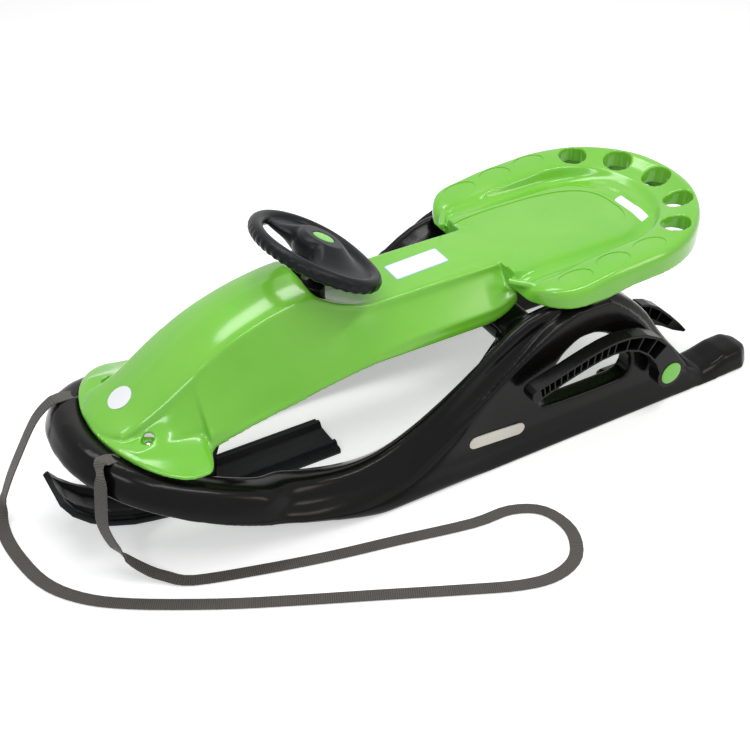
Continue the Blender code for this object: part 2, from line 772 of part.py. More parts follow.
def half_form(rows):
    """A closed form from half-sections that start and end on the middle plane."""
    half = loft(rows, closed=False)
    work = bmesh.new()
    work.from_mesh(half.data)
    for x in (rows[0][0].x, rows[-1][0].x):
        end = [edge for edge in work.edges if edge.is_boundary
               and all(abs(vert.co.x - x) < 0.00001 for vert in edge.verts)]  # fmt: skip
        if len(end) > 2:
            bmesh.ops.contextual_create(work, geom=end)
    work.to_mesh(half.data)
    work.free()
    return mirrored_half(half)


def body_shell():
    stations = [NOSE_X + NOSE_FLAT, -0.520, -0.513, -0.502, -0.486, -0.467, -0.447, -0.427, -0.410,
                -0.399, -0.391, -0.384, -0.372, -0.34, -0.30, -0.25, -0.21, DASH_X,
                -0.182, -0.168, -0.145, -0.110, -0.07, -0.02, 0.09, 0.12, SKIRT_END_X]  # fmt: skip
    rows = []
    for x in stations:
        row = body_section(x)
        rows.append(row + [Vector((x, 0.0, row[-1].z))])
    within = [NOSE_SOLID_X] + stations[4:-1] + [SKIRT_END_X + 0.01]
    return cut(half_form(rows), half_form([body_inside(x) for x in within]))


# Rim: radius from the seat's centre line, for the sides and for the round rear

# Height over the rim's inner edge, by share of its width: level at the sides, rising at the rear
side_lift = graph(((0.0, 0.0), (0.08, 0.0030), (0.34, 0.0058), (0.63, 0.0070), (0.82, 0.0068),
                   (0.91, 0.0045), (0.965, 0.0), (1.0, -0.006)))  # fmt: skip
rear_lift = graph(((0.0, 0.0), (0.08, 0.0010), (0.34, 0.0050), (0.63, 0.0140), (0.82, 0.0190),
                   (0.91, 0.0188), (0.965, 0.0150), (1.0, 0.007)))  # fmt: skip
# Heights of the rim's inner edge and of its floor along the sled
rim_level = graph(((RIM_FRONT_X, 0.2735), (0.200, 0.2755), (0.260, 0.2845), (0.340, 0.2905),
                   (0.400, 0.2952), (0.430, 0.2965), (0.460, 0.2960), (0.490, 0.2940),
                   (0.530, 0.2920)))  # fmt: skip
rim_floor = graph(((RIM_FRONT_X, RIM_BOTTOM_Z), (0.235, RIM_BOTTOM_Z), (0.300, 0.2570),
                   (0.360, 0.2585), (0.530, 0.2585)))  # fmt: skip
SIDE_PROFILE = (
    (0.0, 0.0), (0.060, 0.0), (0.087, 0.0), (0.092, -0.0010), (0.098, -0.0060),
    (0.104, -0.0090), (0.114, -0.0095), (0.122, -0.0050),
)  # fmt: skip
REAR_PROFILE = (
    (0.0, 0.0), (0.040, 0.0), (0.074, 0.0), (0.078, 0.0015), (0.092, 0.0020),
    (0.096, 0.0055), (0.112, 0.0065), (0.118, 0.0095),
)  # fmt: skip
RIM_SHARES = (0.0, 0.07, 0.25, 0.55, 0.82, 0.93, 1.0)
rim_front = graph(((RIM_FRONT_X, 0.1325), (0.1425, 0.143), (0.149, 0.155), (0.158, 0.167),
                   (0.170, 0.178), (0.187, 0.1865), (0.206, RIM_OUTER)))  # fmt: skip
rim_rise = graph(((RIM_FRONT_X, 0.10), (0.1405, 0.42), (0.145, 0.66), (0.154, 0.85),
                  (0.168, 0.96), (0.188, 1.0)))  # fmt: skip


def rim_ring(x, turn, inset):
    """One half-section of the rim slab, from its middle to its outer wall and floor."""
    rear = blend(math.radians(15), math.radians(75), turn)
    outer = rim_front(x) if turn == 0 else RIM_OUTER
    points = []
    for side, back in zip(SIDE_PROFILE, REAR_PROFILE):
        radius = side[0] + (back[0] - side[0]) * rear
        points.append((radius, DECK_Z + side[1] + (back[1] - side[1]) * rear))
    for share in RIM_SHARES:
        place = RIM_INNER + share * (outer - RIM_INNER)
        here = x if turn == 0 else RIM_CENTRE_X + place * math.sin(turn)
        level = rim_level(here)
        lift = side_lift(share) + (rear_lift(share) - side_lift(share)) * rear
        points.append((place, level + lift))
    most = outer - inset
    rise = rim_rise(x - inset) if turn == 0 else 1.0
    shape = []
    for radius, z in points:
        if radius > DECK_HALF_WIDTH:
            z = RIM_BOTTOM_Z + (z - RIM_BOTTOM_Z) * rise
        shape.append((min(radius, most), max(z - inset, RIM_BOTTOM_Z - 0.015)))
    wall_x = x if turn == 0 else RIM_CENTRE_X + most * math.sin(turn)
    floor = rim_floor(wall_x) if inset == 0 else RIM_BOTTOM_Z - 0.02
    shape += [(most, floor), (0.0, floor)]
    start = x if turn == 0 else RIM_CENTRE_X
    along, across = math.sin(turn), math.cos(turn)
    return [Vector((start + r * along, -r * across, z)) for r, z in shape]


def rim_slab(inset):
    """The rim and seat as a solid, or, inset by the skin, the hollow under it."""
    front = (RIM_FRONT_X, 0.1415, 0.146, 0.153, 0.164, 0.182, 0.207, 0.235, 0.265, 0.300)
    rings = [rim_ring(x + inset, 0.0, inset) for x in front]
    rings += [rim_ring(RIM_CENTRE_X, math.radians(90 * i / 9), inset) for i in range(10)]
    half = loft(rings, closed=False)
    work = bmesh.new()
    work.from_mesh(half.data)
    first = min(vert.co.x for vert in work.verts)
    ends = [e for e in work.edges if e.is_boundary and all(v.co.x < first + 1e-5 for v in e.verts)]
    bmesh.ops.contextual_create(work, geom=ends)
    work.to_mesh(half.data)
    work.free()
    return mirrored_half(half)


def finger_holes():
    """Centres of the five finger holes round the rear of the rim."""
    places = []
    for degrees in HOLE_ANGLES:
        for side in (-1, 1) if degrees else (1,):
            turn = math.radians(degrees)
            x = RIM_CENTRE_X + HOLE_RADIUS * math.cos(turn)
            places.append((x, side * HOLE_RADIUS * math.sin(turn)))
    return places


def hole_rod(x, y, radius):
    """An upright cylinder through the rim."""
    return rod((x, y, HOLE_RODS_Z[0]), (x, y, HOLE_RODS_Z[1]), radius, sides=20)


def make_body():
    # The hollow under the rim leaves a wall standing round each finger hole
    hollow = rim_slab(SKIN)
    for x, y in finger_holes():
        radius = HOLE_DIAMETER / 2 + HOLE_WALL
        hollow = cut(hollow, rod((x, y, HOLE_WALL_Z), (x, y, HOLE_RODS_Z[1]), radius, sides=20))
    rim = cut(rim_slab(0.0), hollow)
    for x, y in finger_holes():
        rim = cut(rim, hole_rod(x, y, HOLE_DIAMETER / 2))
    body = join(body_shell(), rim)
    for side in (-1, 1):
        y = side * SCREW_Y
        boss = rod((SCREW_X, y, SCREW_FLOOR_Z - 0.006), (SCREW_X, y, 0.1875), 0.0115)
        body = join(body, boss)
        well = rod((SCREW_X, y, SCREW_FLOOR_Z), (SCREW_X, y, 0.23), SCREW_RADIUS + 0.0012)
        body = cut(body, well)
    start, normal = badge_place()
    body = cut(body, rod(start, start + normal * 0.02, BADGE_RADIUS + GAP, sides=32))
    body = cut(body, collar_solid(GAP))
    return keep(body, "seat_body", GREEN, 0.22)


def badge_place():
    """The flat floor of the badge's pocket, and the way it faces."""
    x = -0.470
    rise = (crown_z(x + 0.01) - crown_z(x - 0.01)) / 0.02
    normal = Vector((-rise, 0.0, 1.0)).normalized()
    return Vector((x, 0.0, crown_z(x))) - normal * 0.0014, normal


# Steering


def ring_reach(turn):
    """Radius of the oval ring, by the angle from its rear."""
    return sum(size * math.cos(i * turn) for i, size in enumerate(RING_SHAPE))


def make_wheel():
    along = Vector((math.cos(TILT), 0.0, -math.sin(TILT)))
    curve = bpy.data.curves.new("ring", "CURVE")
    curve.dimensions = "3D"
    curve.bevel_depth = RING_TUBE
    curve.bevel_resolution = 3
    spline = curve.splines.new("POLY")
    count = 32
    spline.points.add(count - 1)
    for i, point in enumerate(spline.points):
        turn = 2 * math.pi * i / count
        reach = ring_reach(turn)
        place = WHEEL_CENTRE + along * (RING_SHIFT + reach * math.cos(turn))
        place.y += reach * math.sin(turn)
        point.co = (*place, 1.0)
    spline.use_cyclic_u = True
    ring = weld(finished(new_object("ring", curve)))
    # Height over the ring, share of the ring's reach to the rear and sides, and reach to the
    # front. The hub fills the ring except for a crescent opening at its front.
    levels = (
        (-0.0240, 0.24, 0.024), (-0.0200, 0.34, 0.032), (-0.0100, 0.62, 0.036),
        (-0.0040, 1.00, 0.039), (0.0030, 0.97, 0.040), (0.0065, 0.72, 0.0395),
        (0.0120, 0.56, 0.039), (0.0180, 0.44, 0.037), (HUB_RISE, 0.34, 0.033),
    )  # fmt: skip
    sides = 32
    rings = []
    for height, share, front in levels:
        row = []
        for i in range(sides):
            turn = 2 * math.pi * (i + 0.5) / sides
            toward = blend(0.30, 0.75, -math.cos(turn))
            wide = share * ring_reach(turn)
            reach = wide + (min(front, wide) - wide) * toward
            shift = RING_SHIFT * share * (1 - toward)
            flat = Vector((0.0, reach * math.sin(turn), 0.0))
            flat += along * (shift + reach * math.cos(turn))
            row.append(WHEEL_CENTRE + flat + AXIS * height)
        rings.append(row)
    wheel = join(ring, loft(rings))
    top = WHEEL_CENTRE + AXIS * HUB_RISE
    recess = rod(top - AXIS * 0.0095, top + AXIS * 0.01, CAP_RADIUS + GAP, sides=28)
    bore = rod(WHEEL_CENTRE - AXIS * 0.05, top, SHAFT_RADIUS + GAP)
    wheel = cut(wheel, recess, bore)
    keep(wheel, "steering_wheel", BLUE_BLACK, 0.35)
    cap = turned(
        ((0.0, 0.0008), (0.010, 0.0004), (0.0155, -0.0004), (CAP_RADIUS, -0.0016),
         (CAP_RADIUS, -0.0032), (0.0, -0.0032)),
        top, AXIS, 28,
    )  # fmt: skip
    keep(cap, "wheel_cap", GREEN, 0.25)
    nut = rod(top - AXIS * (0.0095 - GAP), top - AXIS * 0.0037, 0.0135, sides=6)
    keep(nut, "wheel_nut", STEEL, 0.3, 1.0)
    shaft = rod(on_axis(SHAFT_END_Z), top - AXIS * 0.0098, SHAFT_RADIUS)
    keep(shaft, "steering_shaft", STEEL, 0.3, 1.0)


def collar_solid(grow=0.0):
    """The oval block that guides the shaft through the hood, or the hole it sits in."""
    low, high = (COLLAR_Z[0] - 0.05, COLLAR_Z[1] + 0.05) if grow else COLLAR_Z
    outline = []
    for i in range(28):
        turn = 2 * math.pi * i / 28
        reach = COLLAR_REACH + grow
        across = COLLAR_HALF_WIDTH + grow
        outline.append(Vector((COLLAR_X + reach * math.cos(turn), across * math.sin(turn), 0)))
    return loft([[p + Vector((0, 0, z)) for p in outline] for z in (low, high)])


def make_dash_collar():
    collar = bevelled(collar_solid(), 0.002, 1)
    return cut(collar, rod(on_axis(0.20), on_axis(0.36), SHAFT_RADIUS + GAP))


def ski_path():
    """The underside of the ski from tail to tip, as (x, z)."""
    points = (
        (SKI_TAIL_X, 0.0), (-0.200, 0.0), (-0.300, 0.0), (-0.400, 0.0), (-0.435, 0.0018),
        (-0.460, 0.0062), (-0.490, 0.0130), (-0.525, 0.0270), (-0.553, 0.0460),
        (-0.576, 0.0700), (-0.5895, 0.0930),
    )  # fmt: skip
    return [Vector((x, 0.0, z)) for x, z in points]


def make_ski():
    path = ski_path()
    section = (
        (-1.00, 0.0), (-1.02, 0.35), (-1.0, 0.62), (-0.93, 0.72), (-0.78, 0.76), (-0.70, 1.16),
        (-0.56, 1.16), (-0.44, SKI_CHANNEL), (0.0, SKI_CHANNEL - 0.04),
    )  # fmt: skip
    rings = []
    for i, point in enumerate(path):
        ahead = path[min(i + 1, len(path) - 1)]
        behind = path[max(i - 1, 0)]
        run = (ahead - behind).normalized()
        up = Vector((0, 1, 0)).cross(-run).normalized()
        if up.z < 0 and abs(up.z) > 0.2:
            up = -up
        tip = blend(0.560, 0.595, -point.x)
        wide = SKI_HALF_WIDTH * (1 - 0.22 * blend(0.565, 0.60, -point.x) ** 2)
        left = []
        for y, h in section:
            level = h if h < 0.7 else h + (0.66 - h) * tip
            left.append(point + Vector((0, y * wide, 0)) + up * (level * SKI_THICKNESS))
        right = [Vector((p.x, -p.y, p.z)) for p in reversed(left[:-1])]
        rings.append(left + right)
    return loft(rings)


def make_ski_leg():
    """The upright that carries the ski on the lower end of the shaft."""
    base = SKI_THICKNESS * SKI_CHANNEL + GAP
    foot = 0.0185
    rings = []
    for z, low_x, high_x, half in (
        (foot, -0.404, -0.344, 0.0185), (0.034, -0.402, -0.343, 0.0185),
        (0.060, -0.392, -0.341, 0.0182), (0.080, -0.376, -0.334, 0.0180),
        (0.098, -0.352, -0.305, 0.0178), (0.114, -0.330, -0.262, 0.0175),
        (0.136, -0.305, -0.248, 0.0175),
    ):
        rings.append([Vector((low_x, -half, z)), Vector((high_x, -half, z)),
                      Vector((high_x, half, z)), Vector((low_x, half, z))])  # fmt: skip
    leg = bevelled(loft(rings), 0.003, 1)
    flange = block((-0.399, -0.0182, base), (-0.338, 0.0182, foot + 0.002))
    sleeve = rod(on_axis(0.108), on_axis(0.150), 0.0165)
    leg = join(leg, flange, sleeve)
    return cut(leg, rod(on_axis(SHAFT_END_Z - GAP), on_axis(0.19), SHAFT_RADIUS + GAP))


# Brakes


def arc_points(centre, radius, start, end, count):
    """Points on an arc of (x, z), by degrees from +X towards +Z."""
    points = []
    for i in range(count):
        turn = math.radians(start + (end - start) * i / (count - 1))
        points.append((centre[0] + radius * math.cos(turn), centre[1] + radius * math.sin(turn)))
    return points


LEVER_TOP = (
    (0.0935, 0.1581), (0.1079, 0.1630), (0.1260, 0.1675), (0.1478, 0.1735), (0.1713, 0.1803),
    (0.1952, 0.1868), (0.2193, 0.1920), (0.2441, 0.1948), (0.2718, 0.1933), (0.3030, 0.1853),
    (0.3344, 0.1676), (0.3626, 0.1390), (0.3811, 0.1100),
)  # fmt: skip
LEVER_UNDER = (
    (0.1013, 0.1348), (0.1125, 0.1402), (0.1290, 0.1452), (0.1490, 0.1520), (0.1710, 0.1582),
    (0.1930, 0.1638), (0.2160, 0.1685), (0.2400, 0.1704), (0.2660, 0.1675), (0.2900, 0.1580),
    (0.3130, 0.1410), (0.3325, 0.1175), (0.3430, 0.0955),
)  # fmt: skip
LEVER_TIP = ((0.0870, 0.1525), (0.0868, 0.1440), (0.0905, 0.1365))
LEVER_CELLS = [0.03 + 0.0455 * i for i in range(13)] + [0.655, 0.735, 0.815, 0.885]
HUB_RADIUS = 0.0265


def between(first, second, along, across):
    """A point of the strip between two curves, by shares of its length and depth."""
    spot = along * (len(first) - 1)
    i = min(int(spot), len(first) - 2)
    t = spot - i
    low = Vector(first[i]).lerp(Vector(first[i + 1]), t)
    high = Vector(second[i]).lerp(Vector(second[i + 1]), t)
    return low.lerp(high, across)


def cells(top, under, edges, y_low, y_high, wall=0.004, rib=0.0022):
    """Pockets between two curves, one for each pair of neighbouring edges."""
    group = None
    for start, end in zip(edges, edges[1:]):
        corners = []
        for along, side in ((start, 1), (end, -1), (end, -1), (start, 1)):
            deep = len(corners) in (2, 3)
            a = between(top, under, along, 0.0)
            b = between(top, under, along, 1.0)
            depth = (b - a).length
            next_to = between(top, under, min(along + 0.01, 1.0), 0.0)
            before = between(top, under, max(along - 0.01, 0.0), 0.0)
            run = (next_to - before).normalized()
            place = a.lerp(b, 1 - wall * 0.8 / depth if deep else wall / depth)
            corners.append(place + run * (side * rib / 2))
        piece = plate([tuple(corner) for corner in corners], y_low, y_high)
        group = piece if group is None else merged(group, piece)
    return group


def merged(first, second):
    """Two separate closed bodies in one object."""
    work = bmesh.new()
    work.from_mesh(first.data)
    work.from_mesh(second.data)
    work.to_mesh(first.data)
    work.free()
    bpy.data.objects.remove(second, do_unlink=True)
    return first


def make_lever():
    hub = arc_points((PIVOT_X, PIVOT_Z), HUB_RADIUS, 20, -185, 10)
    outline = list(LEVER_TOP) + hub + list(reversed(LEVER_UNDER)) + list(reversed(LEVER_TIP))
    outer = -LEVER_INNER - LEVER_WIDTH
    lever = plate(outline, outer, -LEVER_INNER)
    pockets = cells(LEVER_TOP, LEVER_UNDER, LEVER_CELLS, outer - 0.01, -LEVER_INNER - 0.005)
    lever = cut(lever, pockets)
    bore = rod(across_brake(outer - 0.01), across_brake(0), AXLE_RADIUS + GAP)
    return cut(lever, bore)


CLAW_TOP = ((0.366, 0.146), (0.382, 0.1545), (0.402, 0.148), (0.424, 0.135), (0.452, 0.110),
            (0.478, 0.084), (0.496, 0.0635))  # fmt: skip
CLAW_UNDER = ((0.372, 0.112), (0.385, 0.1215), (0.398, 0.1205), (0.413, 0.112), (0.437, 0.0925),
              (0.464, 0.0750), (0.4915, 0.0615))  # fmt: skip


def make_claw():
    hub = arc_points((PIVOT_X, PIVOT_Z), 0.021, -180, 35, 8)
    outline = [(0.352, 0.130), (0.347, 0.104)] + hub + [(0.393, 0.104), (0.406, 0.108)]
    outline += list(CLAW_UNDER[4:]) + list(reversed(CLAW_TOP))
    claw = plate(outline, -CLAW_OUTER, -CLAW_OUTER + CLAW_WIDTH)
    edges = [0.16, 0.36, 0.55, 0.74]
    group = cells(CLAW_TOP, CLAW_UNDER, edges, -CLAW_OUTER - 0.01, -CLAW_OUTER + CLAW_WIDTH - 0.005)
    claw = cut(claw, group)
    bore = rod(across_brake(-LEVER_INNER), across_brake(0), AXLE_RADIUS + GAP)
    return cut(claw, bore)


def make_brakes():
    outer = LEVER_INNER + LEVER_WIDTH
    inner = CLAW_OUTER - CLAW_WIDTH
    lever, claw = make_lever(), make_claw()
    axle = rod(across_brake(-inner - BUSH_PLAY), across_brake(BUSH_PLAY - outer), AXLE_RADIUS)
    face = across_brake(-outer - GAP)
    cap = turned(
        ((0.0, 0.0030), (0.012, 0.0027), (0.0175, 0.0020), (BRAKE_CAP_RADIUS, 0.0008),
         (BRAKE_CAP_RADIUS, 0.0), (0.0, 0.0)),
        face, (0, -1, 0), 32,
    )  # fmt: skip
    sleeve = rod(across_brake(-CLAW_OUTER - 2 * BUSH_PLAY), across_brake(BUSH_PLAY - LEVER_INNER),
                 AXLE_RADIUS + BUSH_WALL)  # fmt: skip
    sleeve = cut(sleeve, rod(across_brake(0), across_brake(-outer), AXLE_RADIUS + GAP))
    for piece, name, colour, roughness, metal in (
        (lever, "brake_lever", BLACK, 0.35, 0.0), (claw, "brake_claw", BLACK, 0.35, 0.0),
        (axle, "brake_axle", STEEL, 0.3, 1.0), (cap, "brake_cap", GREEN, 0.25, 0.0),
        (sleeve, "axle_bush", WHITE, 0.5, 0.0),
    ):  # fmt: skip
        keep(other_side(piece), name + "_right", colour, roughness, metal)
        keep(piece, name + "_left", colour, roughness, metal)


# Small parts


def make_small_parts():
    for side, name in ((-1, "left"), (1, "right")):
        head = turned(
            ((0.0, 0.0034), (0.0035, 0.0029), (SCREW_RADIUS, 0.0008), (SCREW_RADIUS, 0.0),
             (0.0, 0.0)),
            (SCREW_X, side * SCREW_Y, SCREW_FLOOR_Z + GAP), (0, 0, 1), 20,
        )  # fmt: skip
        keep(head, "nose_screw_" + name, STEEL, 0.25, 1.0)
    start, normal = badge_place()
    badge = rod(start + normal * GAP, start + normal * 0.0022, BADGE_RADIUS, sides=32)
    keep(badge, "nose_badge", WHITE, 0.3)
    bar = plate(name_plate_outline(), -WEB_OUTER - PLATE_PROUD, -WEB_OUTER - GAP)
    keep(other_side(bar), "name_plate_right", BEIGE, 0.4)
    keep(bar, "name_plate_left", BEIGE, 0.4)


# Tow strap: from under the nose on the right, round on the ground, and back on the left
STRAP_ROUTE = (
    (-0.5050, 0.0790, 0.1787), (-0.5170, 0.0790, 0.1843), (-0.5290, 0.0735, 0.1908),
    (-0.5410, 0.0665, 0.1960), (-0.5550, 0.0620, 0.1970), (-0.5800, 0.0620, 0.1760),
    (-0.6080, 0.0680, 0.1250), (-0.6320, 0.0820, 0.0660),
    (-0.6500, 0.0820, 0.0210), (-0.6590, 0.0560, 0.0030), (-0.6580, 0.0000, 0.0013),
    (-0.6420, -0.0740, 0.0013), (-0.6070, -0.1290, 0.0013), (-0.5500, -0.1760, 0.0013),
    (-0.4430, -0.2390, 0.0013), (-0.3430, -0.2890, 0.0013), (-0.2420, -0.3370, 0.0013),
    (-0.1400, -0.3860, 0.0013), (-0.0600, -0.4220, 0.0013), (-0.0050, -0.4320, 0.0013),
    (0.0420, -0.4150, 0.0013), (0.0680, -0.3680, 0.0013), (0.0580, -0.3160, 0.0013),
    (0.0150, -0.2890, 0.0013), (-0.0500, -0.2840, 0.0013), (-0.1650, -0.2580, 0.0013),
    (-0.2660, -0.2360, 0.0013), (-0.3660, -0.2090, 0.0013), (-0.4560, -0.1800, 0.0013),
    (-0.4892, -0.1560, 0.0060), (-0.5120, -0.1380, 0.0170), (-0.5381, -0.1221, 0.0480),
    (-0.5534, -0.1177, 0.1000), (-0.5510, -0.1185, 0.1450), (-0.5450, -0.1130, 0.1790),
    (-0.5385, -0.0985, 0.1945), (-0.5270, -0.0895, 0.1905), (-0.5170, -0.0835, 0.1845),
    (-0.5050, -0.0835, 0.1790),
)  # fmt: skip


def strap_path():
    points = [Vector(point) for point in through(STRAP_ROUTE, steps=2)]
    for point in points:
        point.z = max(point.z, STRAP_THICKNESS / 2 + GAP)
    return points


def make_strap():
    """The flat strap: across the sled where it hangs, and flat on the ground between."""
    path = strap_path()
    rings = []
    for i, point in enumerate(path):
        ahead = path[min(i + 1, len(path) - 1)]
        behind = path[max(i - 1, 0)]
        run = (ahead - behind).normalized()
        level = Vector((-run.y, run.x, 0.0)).normalized()
        # The left strand hangs along the bend of the hoop, and turns square at its peg
        bend = blend(0.190, 0.170, point.z) * blend(-0.530, -0.542, point.x)
        bend *= 1.0 if i > len(path) / 2 else 0.0
        hang = Vector((0.6 * bend, -1.0 + 0.2 * bend, 0.0))
        across = level.lerp(hang, blend(0.012, 0.060, point.z))
        # Both ends are square to the sled's length, where they meet the pegs
        inner = 0 < i < len(path) - 1
        if inner:
            across = (across - run * across.dot(run)).normalized()
        side = across * (STRAP_WIDTH / 2)
        facing = run.cross(across) if inner else Vector((0.0, 0.0, -run.x)).normalized()
        thick = facing * (STRAP_THICKNESS / 2)
        rings.append([point - side - thick, point + side - thick, point + side + thick,
                      point - side + thick])  # fmt: skip
    return loft(rings)


def make_strap_anchors():
    """The peg under the nose that holds each end of the strap, seated on the hoop's slope."""
    for end, name in ((STRAP_ROUTE[0], "right"), (STRAP_ROUTE[-1], "left")):
        x, y, z = end
        front, rear = x + GAP, x + 0.0145
        half = STRAP_WIDTH / 2 + 0.0005
        rings = []
        for place, low, high in ((front, z - 0.0015, z + 0.0013), (rear, z - 0.0085, z - 0.0035)):
            rings.append([Vector((place, y - half, low)), Vector((place, y + half, low)),
                          Vector((place, y + half, high)), Vector((place, y - half, high))])
        keep(loft(rings), "strap_anchor_" + name, BLACK, 0.5)


def hang_on(point, *names):
    """Put the origin of moving pieces on the axis that they turn about."""
    for name in names:
        piece = bpy.data.objects[name]
        piece.data.transform(Matrix.Translation(-Vector(point)))
        piece.location = point


make_frame()
make_body()
make_wheel()
keep(make_dash_collar(), "dash_collar", BLACK, 0.4)
keep(make_ski(), "front_ski", BLUE_BLACK, 0.35)
keep(make_ski_leg(), "ski_leg", BLACK, 0.4)
make_brakes()
make_small_parts()
keep(make_strap(), "tow_strap", WEBBING, 0.85)
make_strap_anchors()
hang_on(WHEEL_CENTRE, "steering_wheel", "wheel_cap", "wheel_nut", "steering_shaft", "ski_leg",
        "front_ski")  # fmt: skip
for side, name in ((-1, "left"), (1, "right")):
    hang_on(across_brake(side * LEVER_INNER), "brake_lever_" + name, "brake_claw_" + name,
            "brake_axle_" + name, "brake_cap_" + name)  # fmt: skip
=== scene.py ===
import math

import bmesh
import bpy
import numpy as np
from mathutils import Matrix, Vector
from mathutils.bvhtree import BVHTree


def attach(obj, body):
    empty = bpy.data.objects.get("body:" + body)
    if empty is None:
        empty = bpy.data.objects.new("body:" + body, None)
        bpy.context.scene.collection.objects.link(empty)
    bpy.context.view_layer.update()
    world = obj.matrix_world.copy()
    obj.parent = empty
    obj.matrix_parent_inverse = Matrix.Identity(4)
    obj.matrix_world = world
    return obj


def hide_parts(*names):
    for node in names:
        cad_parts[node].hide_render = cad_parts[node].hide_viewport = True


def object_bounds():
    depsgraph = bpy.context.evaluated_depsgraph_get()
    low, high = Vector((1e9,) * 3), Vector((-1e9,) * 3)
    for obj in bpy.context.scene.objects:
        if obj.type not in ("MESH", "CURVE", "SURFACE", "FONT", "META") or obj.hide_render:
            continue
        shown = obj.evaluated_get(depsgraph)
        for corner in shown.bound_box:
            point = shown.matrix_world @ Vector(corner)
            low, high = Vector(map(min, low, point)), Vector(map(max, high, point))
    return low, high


# A child's snow sled, dressed for the photograph. Metres, +Z up, nose along -X.

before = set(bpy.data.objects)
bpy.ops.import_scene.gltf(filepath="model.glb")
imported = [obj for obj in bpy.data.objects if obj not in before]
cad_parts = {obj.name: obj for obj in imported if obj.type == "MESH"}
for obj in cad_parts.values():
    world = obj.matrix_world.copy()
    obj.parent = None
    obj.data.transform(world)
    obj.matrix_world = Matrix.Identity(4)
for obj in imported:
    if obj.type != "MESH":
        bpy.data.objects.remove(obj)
CAD_BOX = [list(corner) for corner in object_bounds()]

# Clearance between pieces, and the thickness of the moulded skin
GAP = 0.0003
SKIN = 0.0036

# How finely each piece is remeshed, and how many rounds smooth it
BODY_VOXEL, BODY_ROUNDS = 0.0021, 5
FRAME_VOXEL, FRAME_ROUNDS = 0.0023, 16
WHEEL_VOXEL, WHEEL_ROUNDS = 0.0011, 5
SHARP_PLASTIC = math.radians(50)
SHARP_STRAP = math.radians(40)

# Body
NOSE_X = -0.5226
NOSE_FLAT = 0.0007
NOSE_SOLID_X = -0.496
NOSE_MIDDLE_X = -0.4267
NOSE_HALF_WIDTH = 0.1534
NOSE_POWER = 1.886
DASH_X = -0.190
DECK_Z = 0.280
DECK_STEP = 0.0007
DECK_HALF_WIDTH = 0.093
SKIRT_HALF_WIDTH = 0.100
SKIRT_END_X = 0.145
RIM_CENTRE_X = 0.3380
RIM_OUTER = 0.190
RIM_INNER = 0.1265
RIM_FRONT_X = 0.138
RIM_BOTTOM_Z = 0.248
HOLE_DIAMETER = 0.047
HOLE_RADIUS = 0.157
HOLE_RODS_Z = (0.22, 0.34)
HOLE_WALL = 0.003
HOLE_WALL_Z = 0.2785
HOLE_ANGLES = (0.0, 29.5, 58.0)
SCREW_X = -0.462
SCREW_Y = 0.0775
SCREW_FLOOR_Z = 0.1810
SCREW_RADIUS = 0.0062
SCREW_BOSS_RADIUS = 0.0115
SCREW_BOSS_TOP_Z = 0.1875
SCREW_BOSS_DEPTH = 0.006
SCREW_WELL_WIDER = 0.0030
SCREW_WELL_TOP_Z = 0.23
COLLAR_X = -0.168
COLLAR_HALF_WIDTH = 0.040
COLLAR_REACH = 0.021
COLLAR_HOLE_Z = (0.22, 0.37)
BADGE_X = -0.470
BADGE_RADIUS = 0.0195
BADGE_POCKET_DEPTH = 0.0014
BADGE_POCKET_REACH = 0.02
CORNER_FILL = ((0.128, 0.094, 0.266), (0.154, 0.130, 0.268))
CORNER_FILL_RADIUS = 0.0060

# Steering
AXIS_TILT = 27.7
RING_CENTRE = (-0.149, 0.356)
RING_SHAPE = (0.0954, 0.0045, -0.0100, -0.0032)
RING_SHIFT = -0.011
RING_TUBE = 0.0112
RING_BUMPS = 44
RING_BUMP_DEPTH = 0.00154
HUB_RISE = 0.0235
# Height on the axis, share of the ring's reach, and reach toward the front
HUB_LEVELS = (
    (-0.0240, 0.24, 0.024), (-0.0200, 0.34, 0.032), (-0.0100, 0.62, 0.036),
    (-0.0040, 0.98, 0.039), (0.0030, 0.95, 0.040), (0.0065, 0.72, 0.0395),
    (0.0120, 0.56, 0.039), (0.0180, 0.44, 0.037), (HUB_RISE, 0.34, 0.033),
)  # fmt: skip
CAP_POCKET = (0.0095, 0.01)
SHAFT_HOLE_DEPTH = 0.05
SHAFT_RADIUS = 0.008
CAP_RADIUS = 0.017
TILT = math.radians(AXIS_TILT)
AXIS = Vector((math.sin(TILT), 0.0, math.cos(TILT)))
WHEEL_CENTRE = Vector((RING_CENTRE[0], 0.0, RING_CENTRE[1]))

# Pressed shapes on the body: centres and half sizes, then depths
OVALS = ((0.205, 0.158), (0.276, 0.1585), (0.346, 0.1585))
OVAL_SIZE = (0.029, 0.0205)
OVAL_DEPTH = 0.0011
PAN_CENTRE = (0.243, 0.0)
PAN_SIZE = (0.161, 0.0830)
PAN_POWER = 2.9
PAN_DEPTH = 0.0013
PAN_LEAST_Z = DECK_Z - 0.0025
PRESS_TOP_Z = 0.36
ABOVE_ALL_Z = 0.6
DOWN = Vector((0, 0, -1))

# Where along x the black frame is smoothed more, how much, and how far it swells back
MELT_X = (-0.70, -0.60, -0.08, 0.05)
MELT_ROUNDS = 300
MELT_SWELL = 0.0042

# Labels: four corners each, then how far the sheet sinks into the body
DECK_LABEL = ((-0.0267, 0.0205, 0.2785), (0.0721, 0.0271, 0.2785),
              (0.0702, -0.0161, 0.2785), (-0.0270, -0.0216, 0.2785))  # fmt: skip
RIM_LABEL = ((0.4131, 0.0003, 0.2900), (0.4243, 0.0014, 0.2920),
             (0.4208, -0.0660, 0.2920), (0.4096, -0.0701, 0.2880))  # fmt: skip
LABEL_SINK = 0.0003

